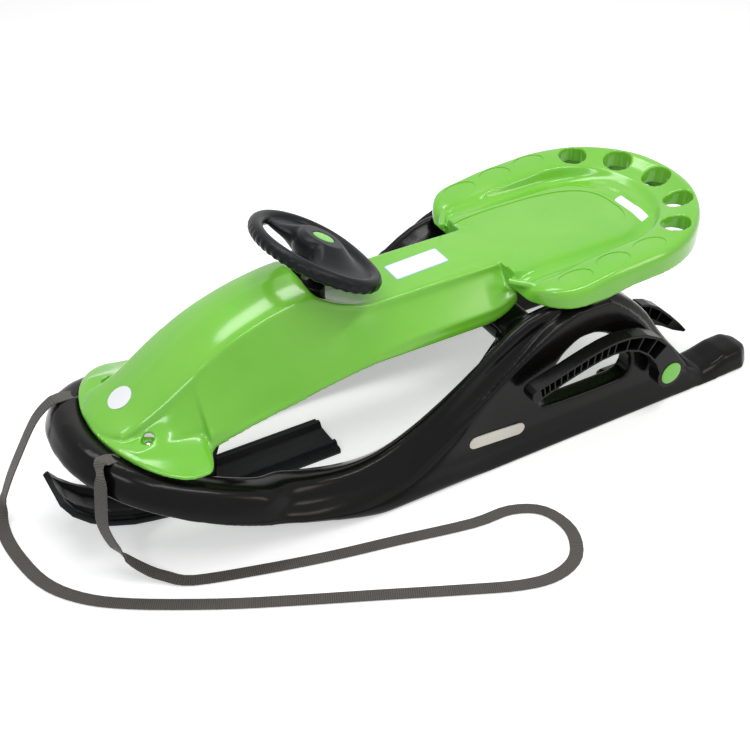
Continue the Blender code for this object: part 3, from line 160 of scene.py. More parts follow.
# Strap: its section in half widths and half thicknesses, then its route from peg to peg
STRAP_WIDTH = 0.020
STRAP_THICKNESS = 0.002
STRAP_SECTION = ((-1.0, -0.4), (-0.94, -1.0), (0.94, -1.0), (1.0, -0.4), (1.0, 0.4), (0.94, 1.0),
                 (-0.94, 1.0), (-1.0, 0.4))  # fmt: skip
STRAP_ROUTE = (
    (-0.5050, 0.0790, 0.1787), (-0.5170, 0.0790, 0.1843), (-0.5290, 0.0735, 0.1908),
    (-0.5410, 0.0665, 0.1960), (-0.5550, 0.0620, 0.1970), (-0.5800, 0.0620, 0.1760),
    (-0.6080, 0.0680, 0.1250), (-0.6320, 0.0820, 0.0660),
    (-0.6500, 0.0820, 0.0210), (-0.6590, 0.0560, 0.0030), (-0.6580, 0.0000, 0.0013),
    (-0.6420, -0.0740, 0.0013), (-0.6070, -0.1290, 0.0013), (-0.5500, -0.1760, 0.0013),
    (-0.4430, -0.2390, 0.0013), (-0.3430, -0.2890, 0.0013), (-0.2420, -0.3370, 0.0013),
    (-0.1400, -0.3860, 0.0013), (-0.0600, -0.4220, 0.0013), (-0.0050, -0.4320, 0.0013),
    (0.0420, -0.4150, 0.0013), (0.0680, -0.3680, 0.0013), (0.0580, -0.3160, 0.0013),
    (0.0150, -0.2890, 0.0013), (-0.0500, -0.2840, 0.0013), (-0.1650, -0.2580, 0.0013),
    (-0.2660, -0.2360, 0.0013), (-0.3660, -0.2090, 0.0013), (-0.4560, -0.1800, 0.0013),
    (-0.4892, -0.1560, 0.0060), (-0.5120, -0.1380, 0.0170), (-0.5381, -0.1221, 0.0480),
    (-0.5534, -0.1177, 0.1000), (-0.5510, -0.1185, 0.1450), (-0.5450, -0.1130, 0.1790),
    (-0.5385, -0.0985, 0.1945), (-0.5270, -0.0895, 0.1905), (-0.5170, -0.0835, 0.1845),
    (-0.5050, -0.0835, 0.1790),
)  # fmt: skip

# Camera, at the photograph's place

CAMERA_PLACE = (-0.843, -1.3505, 1.2882)
CAMERA_TURN = math.radians(30.33)
CAMERA_DROP = math.radians(37.36)
CAMERA_LENS = 58.85
SENSOR_WIDTH = 36.0

camera = bpy.data.objects.new("camera", bpy.data.cameras.new("camera"))
bpy.context.scene.collection.objects.link(camera)
camera.data.lens = CAMERA_LENS
camera.data.sensor_width = SENSOR_WIDTH
camera.location = CAMERA_PLACE
look = Vector((math.sin(CAMERA_TURN) * math.cos(CAMERA_DROP),
               math.cos(CAMERA_TURN) * math.cos(CAMERA_DROP), -math.sin(CAMERA_DROP)))  # fmt: skip
camera.rotation_mode = "QUATERNION"
camera.rotation_quaternion = look.to_track_quat("-Z", "Y")
camera.data.clip_end = 50.0
bpy.context.scene.camera = camera


# Shapes


def new_object(name, mesh):
    made = bpy.data.objects.new(name, mesh)
    bpy.context.scene.collection.objects.link(made)
    return made


def applied(piece):
    """The piece's mesh with its modifiers applied."""
    bpy.context.view_layer.update()
    depsgraph = bpy.context.evaluated_depsgraph_get()
    return bpy.data.meshes.new_from_object(piece.evaluated_get(depsgraph))


def finished(piece):
    """A plain object in the piece's place, with its modifiers applied."""
    mesh = applied(piece)
    mesh.transform(piece.matrix_world)
    name = piece.name
    bpy.data.objects.remove(piece, do_unlink=True)
    mesh.name = name
    return new_object(name, mesh)


def boolean(piece, other, operation):
    step = piece.modifiers.new(operation.lower(), "BOOLEAN")
    step.operation = operation
    step.solver = "MANIFOLD"
    step.object = other
    piece = finished(piece)
    bpy.data.objects.remove(other, do_unlink=True)
    return piece


def softened(piece, voxel, rounds):
    """The piece remeshed finely and smoothed, so that its edges are moulded ones."""
    step = piece.modifiers.new("remesh", "REMESH")
    step.mode = "VOXEL"
    step.voxel_size = voxel
    step = piece.modifiers.new("smooth", "SMOOTH")
    step.factor = 0.5
    step.iterations = rounds
    piece = finished(piece)
    piece.data.shade_smooth()
    return piece


def mesh_from(work, name):
    """A mesh made from finished bmesh work."""
    mesh = bpy.data.meshes.new(name)
    work.to_mesh(mesh)
    work.free()
    return mesh


def loft(sections, closed=True, caps=True):
    """Faces between sections of equally many points. Closed sections are rings."""
    work = bmesh.new()
    rows = [[work.verts.new(point) for point in section] for section in sections]
    count = len(rows[0])
    for row, after in zip(rows, rows[1:]):
        for i in range(count if closed else count - 1):
            j = (i + 1) % count
            work.faces.new((row[i], row[j], after[j], after[i]))
    if closed and caps:
        work.faces.new(rows[0])
        work.faces.new(rows[-1])
    bmesh.ops.remove_doubles(work, verts=work.verts, dist=0.000002)
    bmesh.ops.recalc_face_normals(work, faces=work.faces)
    return new_object("loft", mesh_from(work, "loft"))


def half_form(rows, first_only=False):
    """A closed form from half-sections that start and end on the middle plane."""
    half = loft(rows, closed=False)
    work = bmesh.new()
    work.from_mesh(half.data)
    ends = [min(p.x for p in rows[0])] if first_only else [rows[0][0].x, rows[-1][0].x]
    for x in ends:
        end = [edge for edge in work.edges if edge.is_boundary
               and all(abs(vert.co.x - x) < 0.00001 for vert in edge.verts)]  # fmt: skip
        if len(end) > 2:
            bmesh.ops.contextual_create(work, geom=end)
    work.to_mesh(half.data)
    work.free()
    step = half.modifiers.new("mirror", "MIRROR")
    step.use_axis = (False, True, False)
    step.use_mirror_merge = True
    step.merge_threshold = 0.00005
    half = finished(half)
    work = bmesh.new()
    work.from_mesh(half.data)
    bmesh.ops.recalc_face_normals(work, faces=work.faces)
    work.to_mesh(half.data)
    work.free()
    return half


def rod(start, end, radius, sides=48):
    """A cylinder between two points."""
    line = Vector(end) - Vector(start)
    work = bmesh.new()
    bmesh.ops.create_cone(work, cap_ends=True, segments=sides, radius1=radius, radius2=radius,
                          depth=line.length)  # fmt: skip
    turn = line.to_track_quat("Z", "Y").to_matrix().to_4x4()
    place = Matrix.Translation((Vector(start) + Vector(end)) / 2) @ turn
    bmesh.ops.transform(work, matrix=place, verts=work.verts)
    return new_object("rod", mesh_from(work, "rod"))


def through(points, closed=False, steps=4):
    """A smooth curve through given points, as a finer list of points."""
    points = [np.array(point, float) for point in points]
    count = len(points)
    fine = []
    for i in range(count if closed else count - 1):
        a = points[(i - 1) % count] if closed or i > 0 else 2 * points[0] - points[1]
        b, c = points[i], points[(i + 1) % count]
        last = 2 * points[-1] - points[-2]
        d = points[(i + 2) % count] if closed or i + 2 < count else last
        for t in np.arange(steps) / steps:
            pull = 2 * b + (c - a) * t + (2 * a - 5 * b + 4 * c - d) * t**2
            fine.append((pull + (3 * b - a - 3 * c + d) * t**3) / 2)
    if not closed:
        fine.append(points[-1])
    return fine


def graph(points):
    """A smooth function through (x, value) points that never overshoots them."""
    xs = np.array([point[0] for point in points], float)
    ys = np.array([point[1] for point in points], float)
    slopes = np.diff(ys) / np.diff(xs)
    rates = np.concatenate(([slopes[0]], (slopes[1:] + slopes[:-1]) / 2, [slopes[-1]]))
    for i in range(1, len(xs) - 1):
        if slopes[i - 1] * slopes[i] <= 0:
            rates[i] = 0.0
        else:
            most = 3 * min(abs(slopes[i - 1]), abs(slopes[i]))
            rates[i] = math.copysign(min(abs(rates[i]), most), slopes[i])

    def value(x):
        x = min(max(x, xs[0]), xs[-1])
        i = min(int(np.searchsorted(xs, x, side="right")) - 1, len(xs) - 2)
        i = max(i, 0)
        width = xs[i + 1] - xs[i]
        t = (x - xs[i]) / width
        low = (1 + 2 * t) * (1 - t) ** 2 * ys[i] + t * (1 - t) ** 2 * width * rates[i]
        high = t * t * (3 - 2 * t) * ys[i + 1] + t * t * (t - 1) * width * rates[i + 1]
        return float(low + high)

    return value


def blend(low, high, x):
    """0 below low, 1 above high, and smooth between."""
    t = min(max((x - low) / (high - low), 0.0), 1.0)
    return t * t * (3 - 2 * t)


def nose_edge(x):
    """Half-width of the body's lower edge: nose, flare over the hoop, then the skirt."""
    if x < NOSE_MIDDLE_X:
        reach = (NOSE_MIDDLE_X - x) / (NOSE_MIDDLE_X - NOSE_X)
        return NOSE_HALF_WIDTH * max(1 - reach**NOSE_POWER, 0.0) ** (1 / NOSE_POWER)
    return flare_end(x)


flare_end = graph(
    ((NOSE_MIDDLE_X, NOSE_HALF_WIDTH), (-0.405, 0.152), (-0.396, 0.146), (-0.390, 0.134),
     (-0.385, 0.119), (-0.377, 0.1105), (-0.36, 0.108), (-0.30, 0.104), (-0.20, SKIRT_HALF_WIDTH))
)
edge_z = graph(
    ((NOSE_X, 0.1855), (-0.506, 0.1815), (-0.478, 0.1735), (-0.444, 0.1630), (-0.427, 0.158),
     (-0.400, 0.1555), (-0.385, 0.158), (-0.369, 0.161), (-0.299, 0.173), (-0.237, 0.181),
     (-0.171, 0.192), (-0.103, 0.200), (0.0, 0.2005), (0.09, 0.2010), (0.115, 0.2055),
     (0.132, 0.214), (0.145, 0.226))
)
crown_z = graph(
    ((NOSE_X, 0.1915), (-0.517, 0.1955), (-0.50, 0.202), (-0.472, 0.213), (-0.45, 0.2265),
     (-0.413, 0.252), (-0.38, 0.274), (-0.334, 0.301), (-0.28, 0.320), (-0.229, 0.331),
     (DASH_X, 0.334), (-0.182, 0.318), (-0.172, 0.302), (-0.155, 0.290), (-0.13, 0.2815),
     (-0.10, 0.278), (0.0, 0.2785), (0.14, DECK_Z - DECK_STEP))
)
ridge_z = graph(
    ((NOSE_X, 0.1905), (-0.50, 0.196), (-0.472, 0.204), (-0.45, 0.215), (-0.40, 0.247),
     (-0.35, 0.278), (-0.30, 0.299), (-0.25, 0.313), (DASH_X, 0.321), (-0.175, 0.314),
     (-0.15, 0.299), (-0.12, 0.286), (-0.09, 0.2785), (-0.06, 0.277), (0.0, 0.2775),
     (0.14, 0.2785 - DECK_STEP))
)
ridge_y = graph(
    ((-0.46, 0.062), (-0.40, 0.065), (DASH_X, 0.064), (-0.16, 0.070), (-0.12, 0.081),
     (-0.08, 0.089), (-0.03, DECK_HALF_WIDTH), (0.14, DECK_HALF_WIDTH))
)
flare_z = graph(
    ((NOSE_X, 0.190), (-0.50, 0.191), (-0.47, 0.189), (-0.43, 0.186), (-0.40, 0.184),
     (-0.375, 0.180), (-0.34, 0.180), (-0.20, 0.202), (0.0, 0.222), (0.10, 0.2225), (0.12, 0.2265),
     (0.132, 0.2325), (0.145, 0.2415))
)


def body_section(x):
    """Half a section of the hood and deck at x, from the middle to the lower edge."""
    edge = nose_edge(x)
    low = edge_z(x)
    ridge = min(ridge_y(x), 0.58 * edge)
    top = crown_z(x)
    shoulder = max(ridge_z(x), low + 0.004)
    fall = top - shoulder
    foot_y = min(0.097, 0.80 * edge) if x < -0.38 else edge - 0.004
    foot_z = max(min(flare_z(x), shoulder - 0.002), low + 0.0035)
    nose = blend(-0.47, NOSE_X, x)
    points = [
        (0.0, top),
        (0.42 * ridge, top - 0.20 * fall),
        (0.75 * ridge, top - 0.55 * fall),
        (0.93 * ridge, shoulder + 0.10 * fall + 0.0005),
        (ridge + 0.001, shoulder - 0.0035 * (1 - nose)),
        (ridge + 0.003, shoulder - 0.012 * (1 - nose) - 0.001 * nose),
    ]
    side_y, side_z = points[-1]
    for share in (0.45, 0.85):
        points.append(
            (side_y + (foot_y - side_y) * share**1.1, side_z + (foot_z - side_z) * share)
        )
    points.append((foot_y, foot_z))
    lip = low + 0.0065
    points.append((foot_y + 0.35 * (edge - foot_y), foot_z + 0.50 * (lip - foot_z)))
    points.append((foot_y + 0.80 * (edge - foot_y), lip + 0.0015))
    points.append((edge - 0.0008 * min(edge / 0.02, 1.0), low + 0.0045))
    points.append((edge, low))
    return [Vector((x, -y, z)) for y, z in points]


def body_inside(x):
    """Half a section of the hollow under the hood and deck, a skin's thickness inside."""
    near = [body_section(min(x + shift, SKIRT_END_X)) for shift in (-SKIN, 0.0, SKIN)]
    edge = min(nose_edge(x + shift) for shift in (-SKIN, 0.0, SKIN)) - SKIN
    base = [(min(-row[i].y for row in near), min(row[i].z for row in near)) for i in range(13)]
    # Which outer point each inner one follows, and how far it moves in and down, in skins
    moves = ((0, 0.0, 1.0), (1, 0.0, 1.0), (2, 0.0, 1.05), (3, 0.6, 1.1), (5, 0.9, 0.6),
             (7, 0.8, 0.7), (8, 0.8, 0.9), (9, 0.0, 1.0), (10, 0.0, 1.0))  # fmt: skip
    points = []
    for i, inward, down in moves:
        y, z = base[i]
        points.append((min(max(y - inward * SKIN, 0.0), edge), z - down * SKIN))
    below = edge_z(x) - 0.03
    points += [(edge, below), (0.0, below)]
    return [Vector((x, -y, z)) for y, z in points]


def fine_row(row):
    """A half-section with a smooth line through its points."""
    return [Vector(point) for point in through([tuple(p) for p in row])]


def body_shell():
    """Hood, deck and skirts as a skin."""
    nose = [NOSE_X + NOSE_FLAT + 0.1 * (i / 40) ** 2 for i in range(41)]
    middle = list(np.linspace(nose[-1], -0.1, 70)[1:])
    back = list(np.linspace(-0.1, SKIRT_END_X, 40)[1:])
    rows = []
    for x in nose + middle + back:
        row = fine_row(body_section(x))
        rows.append(row + [Vector((x, 0.0, row[-1].z))])
    within = [x for x in nose + middle + back[:-1] if x > NOSE_SOLID_X]
    hollow = [body_inside(x) for x in [NOSE_SOLID_X] + within + [SKIRT_END_X + 0.01]]
    return boolean(half_form(rows), half_form(hollow), "DIFFERENCE")


side_lift = graph(((0.0, 0.0), (0.08, 0.0030), (0.34, 0.0058), (0.63, 0.0070), (0.82, 0.0068),
                   (0.91, 0.0045), (0.965, 0.0), (1.0, -0.006)))
rear_lift = graph(((0.0, 0.0), (0.08, 0.0010), (0.34, 0.0050), (0.63, 0.0140), (0.82, 0.0190),
                   (0.91, 0.0188), (0.965, 0.0150), (1.0, 0.007)))
rim_level = graph(((RIM_FRONT_X, 0.2735), (0.200, 0.2755), (0.260, 0.2845), (0.340, 0.2905),
                   (0.400, 0.2952), (0.430, 0.2965), (0.460, 0.2960), (0.490, 0.2940),
                   (0.530, 0.2920)))
rim_floor = graph(((RIM_FRONT_X, RIM_BOTTOM_Z), (0.235, RIM_BOTTOM_Z), (0.300, 0.2570),
                   (0.360, 0.2585), (0.530, 0.2585)))
SIDE_PROFILE = (
    (0.0, 0.0), (0.060, 0.0), (0.087, 0.0), (0.092, -0.0010), (0.098, -0.0060),
    (0.104, -0.0090), (0.114, -0.0095), (0.122, -0.0050),
)
REAR_PROFILE = (
    (0.0, 0.0), (0.040, 0.0), (0.074, 0.0), (0.078, 0.0015), (0.092, 0.0020),
    (0.096, 0.0055), (0.112, 0.0065), (0.118, 0.0095),
)
rim_front = graph(((RIM_FRONT_X, 0.1325), (0.1425, 0.143), (0.149, 0.155), (0.158, 0.167),
                   (0.170, 0.178), (0.187, 0.1865), (0.206, RIM_OUTER)))
rim_rise = graph(((RIM_FRONT_X, 0.10), (0.1405, 0.42), (0.145, 0.66), (0.154, 0.85),
                  (0.168, 0.96), (0.188, 1.0)))


def rim_profile(x, turn):
    """Heights of the rim's upper face, from its middle to its outer wall."""
    rear = blend(math.radians(15), math.radians(75), turn)
    outer = rim_front(x) if turn == 0 else RIM_OUTER
    rise = rim_rise(x) if turn == 0 else 1.0
    points = []
    for side, back in zip(SIDE_PROFILE, REAR_PROFILE):
        radius = side[0] + (back[0] - side[0]) * rear
        points.append((radius, DECK_Z + side[1] + (back[1] - side[1]) * rear))
    for share in np.linspace(0.0, 1.0, 28):
        place = RIM_INNER + share * (outer - RIM_INNER)
        here = x if turn == 0 else RIM_CENTRE_X + place * math.sin(turn)
        lift = side_lift(share) + (rear_lift(share) - side_lift(share)) * rear
        points.append((place, rim_level(here) + lift))
    return [(r, RIM_BOTTOM_Z + (z - RIM_BOTTOM_Z) * rise if r > DECK_HALF_WIDTH else z)
            for r, z in points], outer  # fmt: skip


def rim_ring(x, turn, inset):
    """One half-section of the rim slab, from its middle to its outer wall and floor."""
    points, most = rim_profile(x, turn)
    if inset:
        # The hollow keeps a skin's thickness beside steep walls too
        most -= inset
        radii = np.linspace(0.0, most, 64)
        lows = np.full(64, 1.0)
        for near in (x - inset, x - 0.5 * inset, x, x + inset) if turn == 0 else (x,):
            known, reach = rim_profile(near, turn)
            most = min(most, reach - inset)
            known = np.array(known)
            for shift in (-inset, -0.5 * inset, 0.0, 0.5 * inset, inset):
                lows = np.minimum(lows, np.interp(radii + shift, known[:, 0], known[:, 1]))
        points = list(zip(radii, lows))
    shape = [(min(radius, most), max(z - inset, RIM_BOTTOM_Z - 0.015)) for radius, z in points]
    wall_x = x if turn == 0 else RIM_CENTRE_X + most * math.sin(turn)
    floor = rim_floor(wall_x) if inset == 0 else RIM_BOTTOM_Z - 0.02
    shape += [(most, floor), (0.0, floor)]
    start = x if turn == 0 else RIM_CENTRE_X
    along, across = math.sin(turn), math.cos(turn)
    return [Vector((start + r * along, -r * across, z)) for r, z in shape]


def rim_slab(inset):
    """The rim and seat as a solid, or, inset by the skin, the hollow under it."""
    front = [RIM_FRONT_X + 0.07 * (i / 30) ** 1.5 for i in range(31)]
    front += list(np.linspace(front[-1], RIM_CENTRE_X, 16)[1:-1])
    rings = [rim_ring(x + inset, 0.0, inset) for x in front]
    rings += [rim_ring(RIM_CENTRE_X, math.radians(90 * i / 48), inset) for i in range(49)]
    return half_form(rings, first_only=True)


def finger_holes():
    """Centres of the five finger holes round the rear of the rim."""
    places = []
    for degrees in HOLE_ANGLES:
        for side in (-1, 1) if degrees else (1,):
            turn = math.radians(degrees)
            x = RIM_CENTRE_X + HOLE_RADIUS * math.cos(turn)
            places.append((x, side * HOLE_RADIUS * math.sin(turn)))
    return places


def rim_shell():
    """The raised rim with its five finger holes, as a skin."""
    hollow = rim_slab(SKIN)
    for x, y in finger_holes():
        wall = rod((x, y, HOLE_WALL_Z), (x, y, HOLE_RODS_Z[1]), HOLE_DIAMETER / 2 + HOLE_WALL)
        hollow = boolean(hollow, wall, "DIFFERENCE")
    rim = boolean(rim_slab(0.0), hollow, "DIFFERENCE")
    for x, y in finger_holes():
        hole = rod((x, y, HOLE_RODS_Z[0]), (x, y, HOLE_RODS_Z[1]), HOLE_DIAMETER / 2)
        rim = boolean(rim, hole, "DIFFERENCE")
    return rim


def badge_place():
    """The flat floor of the badge's pocket, and the way it faces."""
    rise = (crown_z(BADGE_X + 0.01) - crown_z(BADGE_X - 0.01)) / 0.02
    normal = Vector((-rise, 0.0, 1.0)).normalized()
    return Vector((BADGE_X, 0.0, crown_z(BADGE_X))) - normal * BADGE_POCKET_DEPTH, normal


def collar_hole():
    """The oval hole that the dash collar sits in."""
    outline = []
    for i in range(64):
        turn = 2 * math.pi * i / 64
        outline.append(Vector((COLLAR_X + (COLLAR_REACH + GAP) * math.cos(turn),
                               (COLLAR_HALF_WIDTH + GAP) * math.sin(turn), 0)))  # fmt: skip
    return loft([[p + Vector((0, 0, z)) for p in outline] for z in COLLAR_HOLE_Z])


def pressed(tree, outline, depth, least):
    """A cutter whose underside follows the body's face, a little below it or the least height."""
    middle = sum(outline, Vector()) / len(outline)
    rings = []
    for share in (1.0, 0.8, 0.55, 0.3, 0.08):
        ring = []
        for point in outline:
            spot = middle + (point - middle) * share
            hit = tree.ray_cast(Vector((spot.x, spot.y, ABOVE_ALL_Z)), DOWN)[0]
            ring.append(Vector((spot.x, spot.y, max(hit.z, least) - depth)))
        rings.append(ring)
    lid = [[Vector((p.x, p.y, PRESS_TOP_Z)) for p in ring] for ring in reversed(rings)]
    work = bmesh.new()
    rows = [[work.verts.new(p) for p in ring] for ring in rings + lid]
    count = len(outline)
    # The under face, the lid, and the wall between them
    for first, second in ((0, 1), (1, 2), (2, 3), (3, 4), (5, 6), (6, 7), (7, 8), (8, 9), (9, 0)):
        row, after = rows[first], rows[second]
        for i in range(count):
            k = (i + 1) % count
            work.faces.new((row[i], row[k], after[k], after[i]))
    work.faces.new(rows[4])
    work.faces.new(rows[5])
    bmesh.ops.recalc_face_normals(work, faces=work.faces)
    return new_object("pressed", mesh_from(work, "pressed"))


def oval(cx, cy, size, power=2.0, count=72):
    """A rounded outline about a centre. A higher power makes it squarer."""
    points = []
    for i in range(count):
        turn = 2 * math.pi * i / count
        across, along = math.sin(turn), math.cos(turn)
        x = math.copysign(abs(along) ** (2 / power), along) * size[0]
        y = math.copysign(abs(across) ** (2 / power), across) * size[1]
        points.append(Vector((cx + x, cy + y, 0.0)))
    return points


def press_shapes(piece):
    """The six ovals on the rim and the shallow seat pan, with crisp edges."""
    tree = BVHTree.FromObject(piece, bpy.context.evaluated_depsgraph_get())
    cutters = []
    for cx, cy in OVALS:
        for side in (-1, 1):
            outline = oval(cx, side * cy, OVAL_SIZE)
            cutters.append(pressed(tree, outline, OVAL_DEPTH, RIM_BOTTOM_Z))
    outline = oval(*PAN_CENTRE, PAN_SIZE, PAN_POWER, 160)
    cutters.append(pressed(tree, outline, PAN_DEPTH, PAN_LEAST_Z))
    for cutter in cutters:
        piece = boolean(piece, cutter, "DIFFERENCE")
    return piece


def ring_reach(turn):
    """Radius of the oval wheel, by the angle from its rear."""
    return sum(size * math.cos(i * turn) for i, size in enumerate(RING_SHAPE))


def grip_wheel():
    """The oval wheel with finger bumps under its ring, and its domed hub."""
    along = Vector((math.cos(TILT), 0.0, -math.sin(TILT)))
    centres, tubes = [], []
    count = 180
    for i in range(count):
        turn = 2 * math.pi * i / count
        reach = ring_reach(turn)
        place = WHEEL_CENTRE + along * (RING_SHIFT + reach * math.cos(turn))
        place.y += reach * math.sin(turn)
        centres.append(place)
    for i, place in enumerate(centres):
        run = (centres[(i + 1) % count] - centres[i - 1]).normalized()
        out = run.cross(AXIS).normalized()
        ripple = 0.5 + 0.5 * math.cos(2 * math.pi * i / count * RING_BUMPS)
        ring = []
        for k in range(24):
            turn = 2 * math.pi * k / 24
            # The bumps sit on the outer and lower side of the ring
            under = blend(0.1, 0.9, 0.75 * math.cos(turn) - 0.65 * math.sin(turn))
            size = RING_TUBE - RING_BUMP_DEPTH * under * (1 - ripple)
            ring.append(place + out * (size * math.cos(turn)) + AXIS * (size * math.sin(turn)))
        tubes.append(ring)
    tubes.append(tubes[0])
    ring = loft(tubes, caps=False)
    rings = []
    for height, share, front in [Vector(level) for level in through(HUB_LEVELS)]:
        row = []
        for i in range(96):
            turn = 2 * math.pi * (i + 0.5) / 96
            toward = blend(0.30, 0.75, -math.cos(turn))
            wide = share * ring_reach(turn)
            reach = wide + (min(front, wide) - wide) * toward
            shift = RING_SHIFT * share * (1 - toward)
            flat = Vector((0.0, reach * math.sin(turn), 0.0))
            flat += along * (shift + reach * math.cos(turn))
            row.append(WHEEL_CENTRE + flat + AXIS * height)
        rings.append(row)
    wheel = boolean(loft(rings), ring, "UNION")
    wheel = softened(wheel, WHEEL_VOXEL, WHEEL_ROUNDS)
    top = WHEEL_CENTRE + AXIS * HUB_RISE
    below, above = CAP_POCKET
    pocket = rod(top - AXIS * below, top + AXIS * above, CAP_RADIUS + GAP, 64)
    wheel = boolean(wheel, pocket, "DIFFERENCE")
    bore = rod(WHEEL_CENTRE - AXIS * SHAFT_HOLE_DEPTH, top, SHAFT_RADIUS + GAP)
    wheel = boolean(wheel, bore, "DIFFERENCE")
    wheel.data.shade_smooth()
    wheel.data.set_sharp_from_angle(angle=SHARP_PLASTIC)
    return wheel


def strap_path():
    """The strap's centreline, kept a hair off the ground."""
    points = [Vector(point) for point in through(STRAP_ROUTE)]
    for point in points:
        point.z = max(point.z, STRAP_THICKNESS / 2 + GAP)
    return points


def strap_rings(path):
    """The flat strap: across the sled where it hangs, and flat on the ground between."""
    rings = []
    for i, point in enumerate(path):
        ahead = path[min(i + 1, len(path) - 1)]
        behind = path[max(i - 1, 0)]
        run = (ahead - behind).normalized()
        level = Vector((-run.y, run.x, 0.0)).normalized()
        bend = blend(0.190, 0.170, point.z) * blend(-0.530, -0.542, point.x)
        bend *= 1.0 if i > len(path) / 2 else 0.0
        hang = Vector((0.6 * bend, -1.0 + 0.2 * bend, 0.0))
        across = level.lerp(hang, blend(0.012, 0.060, point.z))
        inner = 0 < i < len(path) - 1
        if inner:
            across = (across - run * across.dot(run)).normalized()
        facing = run.cross(across) if inner else Vector((0.0, 0.0, -run.x)).normalized()
        ring = []
        for far, high in STRAP_SECTION:
            ring.append(point + across * (far * STRAP_WIDTH / 2)
                        + facing * (high * STRAP_THICKNESS / 2))  # fmt: skip
        rings.append(ring)
    return rings


def lay_uv(piece, rings):
    """Metres along and across the strap, for its weave."""
    along = [0.0]
    for before, after in zip(rings, rings[1:]):
        along.append(along[-1] + (after[0] - before[0]).length)
    count = len(STRAP_SECTION)
    layer = piece.data.uv_layers.new(name="UVMap")
    for face in piece.data.polygons:
        for loop in face.loop_indices:
            vert = piece.data.loops[loop].vertex_index
            across = STRAP_SECTION[vert % count][0] * STRAP_WIDTH / 2
            layer.data[loop].uv = (along[vert // count], across)


# Materials


def nodes_of(name):
    made = bpy.data.materials.new(name)
    made.use_nodes = True
    tree = made.node_tree
    return made, tree.nodes, tree.links, tree.nodes["Principled BSDF"]


def plastic(name, deep, pale, roughness, grain, bump, edge, coat=0.0, specular=0.5):
    """Moulded plastic: cloudy colour, fine grain, and softly rounded edges."""
    made, nodes, links, shader = nodes_of(name)
    place = nodes.new("ShaderNodeTexCoord")
    cloud = nodes.new("ShaderNodeTexNoise")
    cloud.inputs["Scale"].default_value = 9.0
    cloud.inputs["Detail"].default_value = 3.0
    links.new(place.outputs["Object"], cloud.inputs["Vector"])
    ramp = nodes.new("ShaderNodeValToRGB")
    ramp.color_ramp.elements[0].position = 0.35
    ramp.color_ramp.elements[1].position = 0.65
    ramp.color_ramp.elements[0].color = (*deep, 1.0)
    ramp.color_ramp.elements[1].color = (*pale, 1.0)
    links.new(cloud.outputs["Fac"], ramp.inputs["Fac"])
    links.new(ramp.outputs["Color"], shader.inputs["Base Color"])
    fine = nodes.new("ShaderNodeTexNoise")
    fine.inputs["Scale"].default_value = grain
    fine.inputs["Detail"].default_value = 2.0
    links.new(place.outputs["Object"], fine.inputs["Vector"])
    rough = nodes.new("ShaderNodeMapRange")
    rough.inputs["To Min"].default_value = roughness * 0.85
    rough.inputs["To Max"].default_value = roughness * 1.2
    links.new(fine.outputs["Fac"], rough.inputs["Value"])
    links.new(rough.outputs["Result"], shader.inputs["Roughness"])
    relief = nodes.new("ShaderNodeBump")
    relief.inputs["Strength"].default_value = bump
    relief.inputs["Distance"].default_value = 0.0003
    links.new(fine.outputs["Fac"], relief.inputs["Height"])
    if edge:
        soft = nodes.new("ShaderNodeBevel")
        soft.samples = 6
        soft.inputs["Radius"].default_value = edge
        links.new(soft.outputs["Normal"], relief.inputs["Normal"])
    links.new(relief.outputs["Normal"], shader.inputs["Normal"])
    shader.inputs["Coat Weight"].default_value = coat
    shader.inputs["Coat Roughness"].default_value = 0.12
    shader.inputs["Specular IOR Level"].default_value = specular
    return made


def webbing(name):
    """Flat woven webbing: ribs across the strap, and rows of yarn along it."""
    made, nodes, links, shader = nodes_of(name)
    uv = nodes.new("ShaderNodeUVMap")
    uv.uv_map = "UVMap"
    waves = []
    for turn, scale in ((0.0, 100.0), (0.9, 85.0), (-0.9, 85.0)):
        place = nodes.new("ShaderNodeMapping")
        place.inputs["Rotation"].default_value = (0.0, 0.0, turn)
        links.new(uv.outputs["UV"], place.inputs["Vector"])
        wave = nodes.new("ShaderNodeTexWave")
        wave.inputs["Scale"].default_value = scale
        wave.inputs["Distortion"].default_value = 0.6
        wave.inputs["Detail"].default_value = 1.0
        links.new(place.outputs["Vector"], wave.inputs["Vector"])
        waves.append(wave)
    both = nodes.new("ShaderNodeMath")
    both.operation = "MAXIMUM"
    links.new(waves[1].outputs["Fac"], both.inputs[0])
    links.new(waves[2].outputs["Fac"], both.inputs[1])
    weave = nodes.new("ShaderNodeMath")
    weave.operation = "MULTIPLY_ADD"
    links.new(both.outputs["Value"], weave.inputs[0])
    weave.inputs[1].default_value = 0.6
    links.new(waves[0].outputs["Fac"], weave.inputs[2])
    ramp = nodes.new("ShaderNodeValToRGB")
    ramp.color_ramp.elements[0].position = 0.25
    ramp.color_ramp.elements[1].position = 1.0
    ramp.color_ramp.elements[0].color = (0.016, 0.0145, 0.013, 1.0)
    ramp.color_ramp.elements[1].color = (0.085, 0.076, 0.068, 1.0)
    links.new(weave.outputs["Value"], ramp.inputs["Fac"])
    links.new(ramp.outputs["Color"], shader.inputs["Base Color"])
    relief = nodes.new("ShaderNodeBump")
    relief.inputs["Strength"].default_value = 0.6
    relief.inputs["Distance"].default_value = 0.0006
    links.new(weave.outputs["Value"], relief.inputs["Height"])
    links.new(relief.outputs["Normal"], shader.inputs["Normal"])
    shader.inputs["Roughness"].default_value = 0.78
    shader.inputs["Sheen Weight"].default_value = 0.35
    shader.inputs["Sheen Roughness"].default_value = 0.4
    return made


